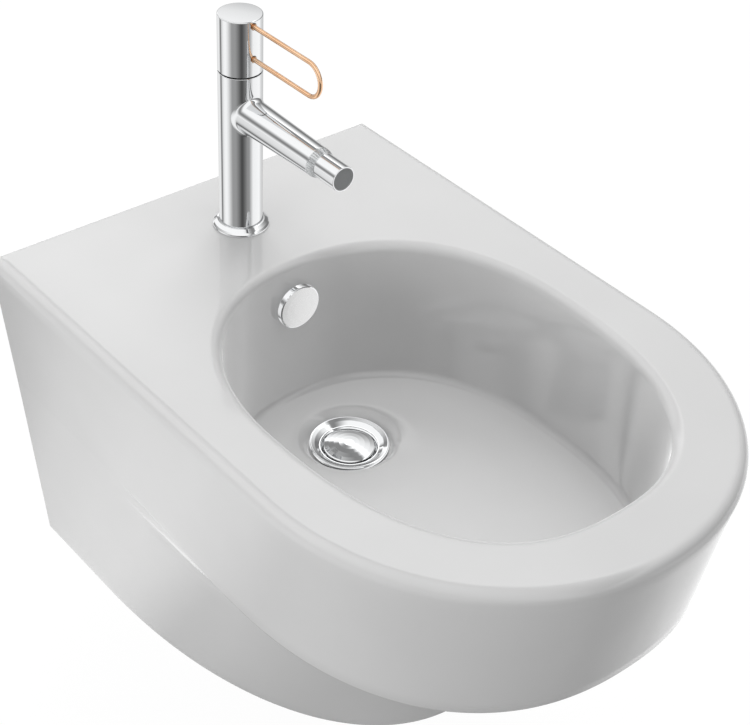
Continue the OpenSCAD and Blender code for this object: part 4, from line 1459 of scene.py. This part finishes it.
@dataclass
class SwivelNozzle:
    """Ball-jointed nozzle: a fluted grey collar, a chrome sleeve and a mesh aerator."""

    spout_z: float = 181.5
    ball_y: float = -164.073
    ball_r: float = 7.9
    collar_r: float = 11.5
    socket_r: float = 10.3
    nozzle_r: float = 9.8
    nozzle_back: float = 6.827
    length: float = 22.4
    cup_wall: float = 1.1
    flutes: int = 36
    flute_in: float = 0.85
    flute_r: float = 0.5
    flute_len: float = 5.4
    flute_lean: float = 0.36
    flute_z: float = 4.0
    bore_r: float = 3.2
    neck_r: float = 4.4
    cup_floor: float = 15.0
    aerator_h: float = 8.5
    screen_in: float = 0.72
    screen_r: float = 7.9
    screen_bars: int = 21
    bar_w: float = 0.4

    @property
    def place(self) -> Matrix:
        """Local frame with +Z along the spout and its zero at the ball's centre."""
        return forward(0, self.ball_y, self.spout_z)

    @property
    def face_r(self) -> float:
        """Radius of the collar's ball-shaped front."""
        return math.sqrt(self.collar_r**2 + 1)

    def collar(self) -> None:
        """Build the collar and cut a ring of fine flutes into its rim."""
        mouth = self.ball_r - 0.3
        seat_r = self.ball_r + 0.15
        ends = (math.asin(r / self.face_r) for r in (self.collar_r, mouth))
        arc = sphere_arc(self.face_r, *ends, 8)
        ball = sphere_arc(seat_r, math.asin((mouth - 0.55) / seat_r), math.pi / 2, 10)
        inner = self.socket_r
        profile = [(seat_r, -5.0), (inner, -5.0), (inner, 0.5), (self.collar_r, 0.5), *arc, *ball]
        collar = turned("spout_collar_piece", profile, self.place, 160, closed=True)
        sizes = [v * MM for v in (self.collar_r - self.flute_in, self.flute_r, self.flute_len)]
        rule, result = ring_of("collar_flutes", self.flutes, *sizes, self.flute_lean)
        flutes = rule.piece("flute_cutters", result, GREY_ACETAL)
        place_mesh(flutes, self.place @ Matrix.Translation((0, 0, self.flute_z)))
        carve(collar, flutes)
        seat(shade(collar, 30.0), Body.BASE, METALLISED, ("spout_collar",))

    def nozzle(self) -> None:
        """Build the hollow ball, its neck and the chrome sleeve."""
        end = self.nozzle_back + self.length
        r, back_r, bore, neck = self.nozzle_r, self.face_r + 0.4, self.bore_r, self.neck_r
        ball_from = math.asin(bore / self.ball_r)
        ball_to = math.pi - math.asin(neck / self.ball_r)
        ball = [(x, -z) for x, z in sphere_arc(self.ball_r, ball_from, ball_to, 24)]
        cup_from = math.asin(neck / back_r)
        cup_to = math.asin((r - 0.3) / back_r)
        cup = sphere_arc(back_r, cup_from, cup_to, 10)
        outside = rounded(
            [
                (r - 0.3, cup[-1][1] + 0.02), (r, cup[-1][1] + 0.4, 0.15), (r, end, 0.25),
                (r - self.cup_wall, end, 0.12), (r - self.cup_wall, self.cup_floor),
                (bore, self.cup_floor),
            ],
            5,
        )
        sleeve = turned("nozzle_piece", [*ball, *cup, *outside], self.place, 144, closed=True)
        seat(shade(sleeve), Body.NOZZLE, CHROME, ("nozzle",))

    def screen_tree(self) -> tuple[RuleTree, Socket]:
        """Build the tree of the aerator's screen: crossed bars clipped to a disc."""
        sizes = {"Disc radius": self.screen_r * MM, "Bars": self.screen_bars, "Bar width": self.bar_w * MM}
        rule = RuleTree("aerator_screen", sizes)
        radius, count, wide = (rule.given(label) for label in ("Disc radius", "Bars", "Bar width"))
        step = rule.sum_up("DIVIDE", rule.sum_up("MULTIPLY", radius, 2.0), count)
        line = rule.add("GeometryNodeMeshLine", {"mode": "OFFSET"}, {"Count": count})
        index = rule.add("GeometryNodeInputIndex").outputs["Index"]
        place = rule.sum_up("MULTIPLY", rule.sum_up("ADD", index, 0.5), step)
        shift = rule.sum_up("SUBTRACT", place, radius)
        square, reach = (rule.sum_up("MULTIPLY", side, side) for side in (radius, shift))
        inside = rule.sum_up("SUBTRACT", square, reach)
        half = rule.sum_up("SQRT", rule.sum_up("MAXIMUM", inside, 0.0), 0.0)
        spot = rule.add("ShaderNodeCombineXYZ", inputs={"X": shift}).outputs["Vector"]
        moved = rule.add(
            "GeometryNodeSetPosition", inputs={"Geometry": line.outputs["Mesh"], "Position": spot}
        )
        bar = rule.add("GeometryNodeMeshCube", inputs={"Size": (1.0, 1.0, 1.0)})
        inputs = {"X": wide, "Y": rule.sum_up("MULTIPLY", half, 2.0), "Z": wide}
        size = rule.add("ShaderNodeCombineXYZ", inputs=inputs).outputs["Vector"]
        bars = rule.copies(moved.outputs["Geometry"], bar.outputs["Mesh"], "Scale", size)
        quarter, below = (0.0, 0.0, math.pi / 2), (0.0, 0.0, -0.3 * MM)
        inputs = {"Geometry": bars, "Rotation": quarter, "Translation": below}
        across = rule.add("GeometryNodeTransform", inputs=inputs).outputs["Geometry"]
        return rule, rule.join(bars, across)

    def aerator(self) -> None:
        """Build the aerator: a cup with a raised rim round a fine screen."""
        end = self.nozzle_back + self.length
        r = self.nozzle_r - self.cup_wall - 0.05
        profile = rounded(
            [
                (0, end - self.aerator_h), (r, end - self.aerator_h), (r, end - 0.3, 0.25),
                (r - 0.7, end - 0.3, 0.2),
                (r - 0.7, end - 0.95), (0, end - 0.95),
            ],
            4,
        )
        cup = dress(turned("aerator_cup", profile, self.place, 96), GREY_ACETAL)
        rule, result = self.screen_tree()
        screen = rule.piece("aerator_screen", result, GREY_ACETAL, 20.0)
        place_mesh(screen, self.place @ Matrix.Translation((0, 0, end - self.screen_in)))
        seat(merge("aerator_piece", [cup, screen]), Body.NOZZLE, None, ("aerator",))

    def build(self) -> None:
        """Build the collar, the nozzle and the aerator."""
        self.collar()
        self.nozzle()
        self.aerator()
        carry_over((Body.SWIVEL, "nylon", NYLON, "swivel_seat"))


# ---- Waste and overflow ----


@dataclass
class Waste:
    """Push-open waste: a dished chrome flange, a domed plug and a threaded tail with its nut."""

    y: float = -212.5
    flange_z: float = -48.0
    flange_r: float = 31.5
    plug_r: float = 20.35
    plug_up: float = 5.4
    tail_r: float = 20.95
    neck_tail_r: float = 20.35
    tail_z: float = -134.5
    bore_r: float = 18.3
    neck_r: float = 22.8
    nut_z: float = -111.5
    pitch: float = 2.309
    ridge_r: float = 0.42
    window_half: float = 5.0
    window_reach: float = 45.0
    window_drops: tuple[float, float] = (28.0, 19.0)

    def place(self, z: float) -> Matrix:
        """Return an upright frame on the waste's axis."""
        return at(0, self.y, z)

    def flange(self) -> None:
        """Build the flange, throat, neck and tail as one turned casting with overflow windows."""
        r, throat = self.flange_r, self.plug_r + 0.65
        deep = self.flange_z - self.tail_z
        nut = self.flange_z - self.nut_z
        profile = rounded(
            [
                (self.bore_r, -deep), (self.tail_r - 1.0, -deep), (self.tail_r - 0.1, -deep + 0.9),
                (self.tail_r - 0.1, -nut), (self.neck_tail_r, -nut), (self.neck_tail_r, -16.0),
                (self.neck_r, -14.0), (self.neck_r, -3.5), (r - 0.9, -3.5, 0.4), (r, -1.4, 0.8),
                (r - 0.5, -0.1, 0.5), (r - 1.6, 0.0, 0.8), (r - 4.4, -0.95, 3.0), (r - 7.4, -3.0, 3.0),
                (throat + 0.7, -5.1, 1.2), (throat, -8.6, 1.0), (throat, -14.0), (self.bore_r, -15.0),
            ],
            6,
        )
        piece = turned("waste_flange_piece", profile, self.place(self.flange_z), 160, closed=True)
        low, high = (self.flange_z - drop for drop in self.window_drops)
        far, half = self.window_reach, self.window_half
        for x, y in ((far, half), (half, far)):
            carve(piece, block("window", (-x, self.y - y, low), (x, self.y + y, high)))
        dress(shade(piece), CHROME)
        thread = self.thread("tail_thread", self.tail_r - 0.12, self.tail_z + 2.0, self.nut_z - 1.5)
        seat(merge("waste_casting", [piece, thread]), Body.BASE, None, ("waste_flange",))

    def thread(self, name: str, core_r: float, low: float, high: float) -> Piece:
        """Build a raised thread round the tail from a spiral rule.

        Args:
            name: Name of the piece.
            core_r: Radius on which the ridge stands.
            low: Height of the lower end.
            high: Height of the upper end.

        Returns:
            The ridge.
        """
        turns = (high - low) / self.pitch
        rule = RuleTree(name, {"Turns": float(turns), "Radius": core_r * MM, "Height": (high - low) * MM})
        path = rule.add(
            "GeometryNodeCurveSpiral",
            inputs={
                "Resolution": 40, "Rotations": rule.given("Turns"), "Start Radius": rule.given("Radius"),
                "End Radius": rule.given("Radius"), "Height": rule.given("Height"), "Reverse": False,
            },
        )
        ridge = rule.tube(path.outputs["Curve"], rule.section(4, self.ridge_r * MM))
        return place_mesh(rule.piece(name, ridge, CHROME, 45.0), self.place(low))

    def plug(self) -> None:
        """Build the domed plug with its thin bright edge."""
        r = self.plug_r
        profile = rounded(
            [
                (0, 0), (r - 0.6, 0, 0.3), (r, 0.6, 0.3), (r, 1.5, 0.5), (r - 0.7, 2.15, 0.6),
                (r * 0.8, 3.1, 4.0), (r * 0.6, 3.95, 8.0), (r * 0.4, 4.55, 8.0), (r * 0.2, 4.9, 6.0),
                (0, 5.0),
            ],
            6,
        )
        dome = turned("plug_piece", profile, self.place(self.flange_z - self.plug_up), 128)
        seat(dome, Body.PLUG, CHROME, ("plug",))

    def build(self) -> None:
        """Build the waste and carry over the pieces on and in its tail."""
        self.flange()
        self.plug()
        carry_over(
            (Body.BASE, "rubber", RUBBER, "flange_seal cone_seal"),
            (Body.BASE, "chrome", CHROME, "waste_nut"),
            (Body.BASE, "grey_plastic", GREY_ACETAL, "click_guide"),
            (Body.PLUG, "rubber", RUBBER, "plug_seal"),
            (Body.PLUG, "nylon", NYLON, "plug_stem"),
        )


@dataclass
class Overflow:
    """Round overflow cap that stands off the basin wall on a hollow stem."""

    wall_y: float = -139.99
    z: float = 43.0
    gap: float = 2.0
    cap_r: float = 18.4
    slot_half: float = 2.2
    slot_reach: tuple[float, float] = (4.0, 6.0)

    def build(self) -> None:
        """Build the satin disc with its polished edge, its stem and the bush."""
        r = self.cap_r
        place = forward(0, self.wall_y, self.z) @ Matrix.Translation((0, 0, self.gap))
        profile = rounded(
            [
                (4.2, -10.0), (6.0, -10.0), (6.0, 0.0), (r - 0.5, 0.0, 0.3), (r, 0.5, 0.3), (r, 4.4, 0.6),
                (r - 1.1, 4.95, 0.4), (r * 0.7, 5.25, 2.0), (r * 0.35, 5.5, 2.0), (0, 5.6),
            ],
            5,
        )
        cap = turned("cap", [(0.0, 1.0), (4.2, 1.0), *profile], place, 128)
        y_low, y_high = (self.wall_y - self.gap + reach for reach in self.slot_reach)
        for x, z in ((r, self.slot_half), (self.slot_half, r)):
            carve(cap, block("slot", (-x, y_low, self.z - z), (x, y_high, self.z + z)))
        shade(cap)
        self.paint(cap, place)
        seat(cap, Body.BASE, None, ("overflow_cap",))
        carry_over((Body.BASE, "nylon", NYLON, "overflow_bush"))

    def paint(self, cap: Piece, place: Matrix) -> None:
        """Give the flat front the satin finish and the rest polished chrome.

        Args:
            cap: The cap's mesh object.
            place: Local frame of the cap.
        """
        dress(cap, SATIN).data.materials.append(CHROME.material())
        inverse = place.inverted()
        for face in cap.data.polygons:
            spot = inverse @ (face.center / MM)
            flat = spot.z > 4.9 and math.hypot(spot.x, spot.y) < self.cap_r - 1.0
            face.material_index = 0 if flat else 1


# ---- Studio ----


@dataclass
class Studio:
    """Plain pale floor, soft lights and the camera at the photograph's angle.

    Polished chrome looks flat in an even white room, so reflections show grey panels and soft boxes.
    The panels lie on the floor by the angle round the tap, counted from the photograph's side, and draw
    upright bands on the column. The strips lie in the world by the angle over the spout, counted from
    its left side, and draw long bands on it.
    """

    floor_z: float = -320.0
    floor_half: float = 6000.0
    floor_colour: str = "#BBBBBB"
    floor_glow: float = 0.9
    floor_white: float = 1.07
    fill: float = 0.5
    side: float = 17.5
    rear: float = 26.0
    top: float = 11.5
    panel_glow: float = 1.35
    strip_glow: float = 2.4
    tap_y: float = -69.0
    panel_turn: float = -125.5
    panels: Stops = (
        (-180.0, "#C0C0C0"), (-150.0, "#DCDCDC"), (-128.0, "#EEEEEE"), (-122.0, "#CCCCCC"),
        (-112.0, "#565656"), (-102.0, "#D8D8D8"), (-89.0, "#F6F6F6"), (-76.0, "#FAFAFA"),
        (-64.0, "#E6E6E6"), (-52.0, "#C0C0C0"), (-42.0, "#9A9A9A"), (-24.0, "#989898"), (-11.0, "#7D7D7D"),
        (3.0, "#505050"), (10.0, "#4C4C4C"), (23.0, "#717171"), (36.0, "#929292"), (44.0, "#929292"),
        (55.0, "#C9C9C9"), (66.0, "#F5F5F5"), (110.0, "#FCFCFC"), (124.0, "#DCDCDC"), (138.0, "#CCCCCC"),
        (160.0, "#BCBCBC"), (180.0, "#C0C0C0"),
    )
    strips: Stops = (
        (-25.0, "#C2C2C2"), (-4.0, "#C2C2C2"), (3.0, "#ADADAD"), (9.0, "#7F7F7F"), (16.0, "#626262"),
        (22.0, "#6E6E6E"), (29.0, "#949494"), (36.0, "#BABABA"), (42.0, "#C6C6C6"), (81.0, "#C4C4C4"),
        (87.0, "#B5B5B5"), (94.0, "#9C9C9C"), (101.0, "#7F7F7F"), (109.0, "#656565"), (117.0, "#6B6B6B"),
        (124.0, "#F0F0F0"), (127.0, "#E6E6E6"), (131.5, "#C2C2C2"), (136.0, "#BCBCBC"), (140.5, "#B4B4B4"),
        (146.0, "#9C9C9C"), (153.0, "#848484"), (165.0, "#5C5C5C"), (180.0, "#5D5D5D"), (205.0, "#7B7B7B"),
    )
    camera_at: Spot = (-651.72, -980.12, 804.82)
    right: Spot = (0.77252, -0.633483, 0.043724)
    down: Spot = (-0.359887, -0.493525, -0.79178)
    ahead: Spot = (0.523158, 0.59593, -0.60924)
    focal_px: float = 1684.2

    def camera(self) -> None:
        """Place the camera where the photograph was taken."""
        lens = bpy.data.cameras.new("photo_camera")
        lens.sensor_fit = "HORIZONTAL"
        lens.sensor_width = SENSOR_MM
        lens.lens = self.focal_px * SENSOR_MM / PHOTO_WIDTH
        lens.clip_start, lens.clip_end = 0.05, 50.0
        view = add_object("photo_camera", lens)
        turn = Matrix([self.right, [-v for v in self.down], [-v for v in self.ahead]]).transposed()
        view.matrix_world = Matrix.Translation(Vector(self.camera_at) * MM) @ turn.to_4x4()
        bpy.context.scene.camera = view

    @staticmethod
    def soft_light(name: str, spot: Spot, aim: Spot, size: float, watts: float) -> None:
        """Add a square soft light, which reflections don't show.

        Args:
            name: Name of the light.
            spot: Its place in metres.
            aim: Point that it faces.
            size: Side of the square in metres.
            watts: Power.
        """
        lamp = bpy.data.lights.new(name, "AREA")
        lamp.shape, lamp.size, lamp.energy = "SQUARE", size, watts
        made = add_object(name, lamp)
        made.visible_glossy = False
        made.location = spot
        made.rotation_euler = (Vector(aim) - Vector(spot)).to_track_quat("-Z", "Y").to_euler()

    @staticmethod
    def greys(tree: Tree, output: str, frame: Matrix, stops: Stops) -> Socket:
        """Return greys laid out by the angle about a frame's Z.

        Args:
            tree: Node tree of the floor or the world.
            output: Output of the texture coordinates that gives a place or direction.
            frame: Frame whose Z the angles turn about, counted from its X.
            stops: Angle in degrees from -180 to 180, and the grey there.

        Returns:
            The colour socket.
        """
        coords = add_node(tree, "ShaderNodeTexCoord").outputs[output]
        place, turn = tuple(frame.to_translation() * MM), tuple(frame.to_euler())
        inputs = {"Vector": coords, "Location": place, "Rotation": turn}
        centred = add_node(tree, "ShaderNodeMapping", {"vector_type": "TEXTURE"}, inputs).outputs["Vector"]
        around = add_node(tree, "ShaderNodeTexGradient", {"gradient_type": "RADIAL"}, {"Vector": centred})
        ramp = add_node(tree, "ShaderNodeValToRGB", inputs={"Fac": around.outputs["Fac"]})
        marks = ramp.color_ramp.elements
        marks.remove(marks[-1])
        marks[0].position, marks[0].color = stops[0][0] / 360 + 0.5, linear(stops[0][1])
        for angle, grey in stops[1:]:
            marks.new(angle / 360 + 0.5).color = linear(grey)
        return ramp.outputs["Color"]

    @staticmethod
    def light(tree: Tree, kind: str, colour: object, strength: float) -> Socket:
        """Return the shader of light sent out by the world or a surface."""
        return add_node(tree, kind, inputs={"Color": colour, "Strength": strength}).outputs[0]

    @staticmethod
    def by_ray(tree: Tree, plain: Socket, seen: Socket, mirrored: Socket, share: float = 1.0) -> Socket:
        """Return a shader that shows the eye, reflections and all other light a different face.

        Args:
            tree: Node tree of the floor or the world.
            plain: Shader for all other light.
            seen: Shader for rays from the eye, straight or through glass.
            mirrored: Shader for reflections.
            share: Part that the eye sees of its own shader; the rest is the plain one.

        Returns:
            The shader's socket.
        """
        path = add_node(tree, "ShaderNodeLightPath").outputs
        eye = {0: path["Is Camera Ray"], 1: path["Is Transmission Ray"]}
        eye = add_node(tree, "ShaderNodeMath", {"operation": "MAXIMUM"}, eye).outputs[0]
        part = add_node(tree, "ShaderNodeMath", {"operation": "MULTIPLY"}, {0: eye, 1: share}).outputs[0]
        direct = add_node(tree, "ShaderNodeMixShader", inputs={0: part, 1: plain, 2: seen}).outputs[0]
        inputs = {0: path["Is Glossy Ray"], 1: direct, 2: mirrored}
        return add_node(tree, "ShaderNodeMixShader", inputs=inputs).outputs[0]

    def world(self) -> None:
        """Make a backdrop white to the eye, with long soft boxes in reflections, and an even fill."""
        world = bpy.data.worlds.new("studio")
        bpy.context.scene.world = world
        tree = blank_tree(world)
        along_y = Matrix(((0, 1, 0, 0), (0, 0, 1, 0), (1, 0, 0, 0), (0, 0, 0, 1)))
        stops = tuple((angle - 90, grey) for angle, grey in self.strips)
        boxes = self.greys(tree, "Generated", along_y, stops)
        fill, white, soft = (
            self.light(tree, "ShaderNodeBackground", colour, strength)
            for colour, strength in ((WHITE, self.fill), (WHITE, 1.0), (boxes, self.strip_glow))
        )
        surface = self.by_ray(tree, fill, white, soft)
        add_node(tree, "ShaderNodeOutputWorld", inputs={"Surface": surface})

    def floor(self) -> None:
        """Lay a large pale floor: white to the eye, with its shadow, and with grey panels in reflections."""
        half, z = self.floor_half, self.floor_z
        corners = np.array([(-half, -half, z), (half, -half, z), (half, half, z), (-half, half, z)])
        floor = mesh_object("floor", corners, [(0, 1, 2, 3)])
        paint = bpy.data.materials.new("studio_floor")
        tree = blank_tree(paint)
        round_tap = Matrix.Translation((0, self.tap_y, 0)) @ turned_by(self.panel_turn, "Z")
        panels = self.greys(tree, "Object", round_tap, self.panels)
        matt = add_node(tree, "ShaderNodeBsdfDiffuse", inputs={"Color": linear(self.floor_colour)}).outputs[0]
        white = self.light(tree, "ShaderNodeEmission", WHITE, self.floor_white)
        mirrored = self.light(tree, "ShaderNodeEmission", panels, self.panel_glow)
        surface = self.by_ray(tree, matt, white, mirrored, self.floor_glow)
        add_node(tree, "ShaderNodeOutputMaterial", inputs={"Surface": surface})
        floor.data.materials.append(paint)

    def build(self) -> None:
        """Build the whole studio."""
        self.camera()
        self.world()
        self.floor()
        self.soft_light("side", (-1.9, -0.45, 0.0), (0.0, -0.3, -0.1), 1.2, self.side)
        self.soft_light("rear", (1.0, 1.2, 1.7), (0.0, -0.25, 0.0), 1.6, self.rear)
        self.soft_light("top", (0.0, -0.25, 2.2), (0.0, -0.25, 0.0), 1.4, self.top)
        bpy.context.scene.view_settings.view_transform = "Standard"


def main() -> None:
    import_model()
    Studio().build()
    # The chrome mirrors the studio and not the china round it.
    ChinaBody().build().visible_glossy = False
    Mixer().build()
    SwivelNozzle().build()
    Waste().build()
    Overflow().build()
    carry_over((Body.BASE, "nylon", NYLON, "wall_sleeves"))


if __name__ == "__main__":
    main()
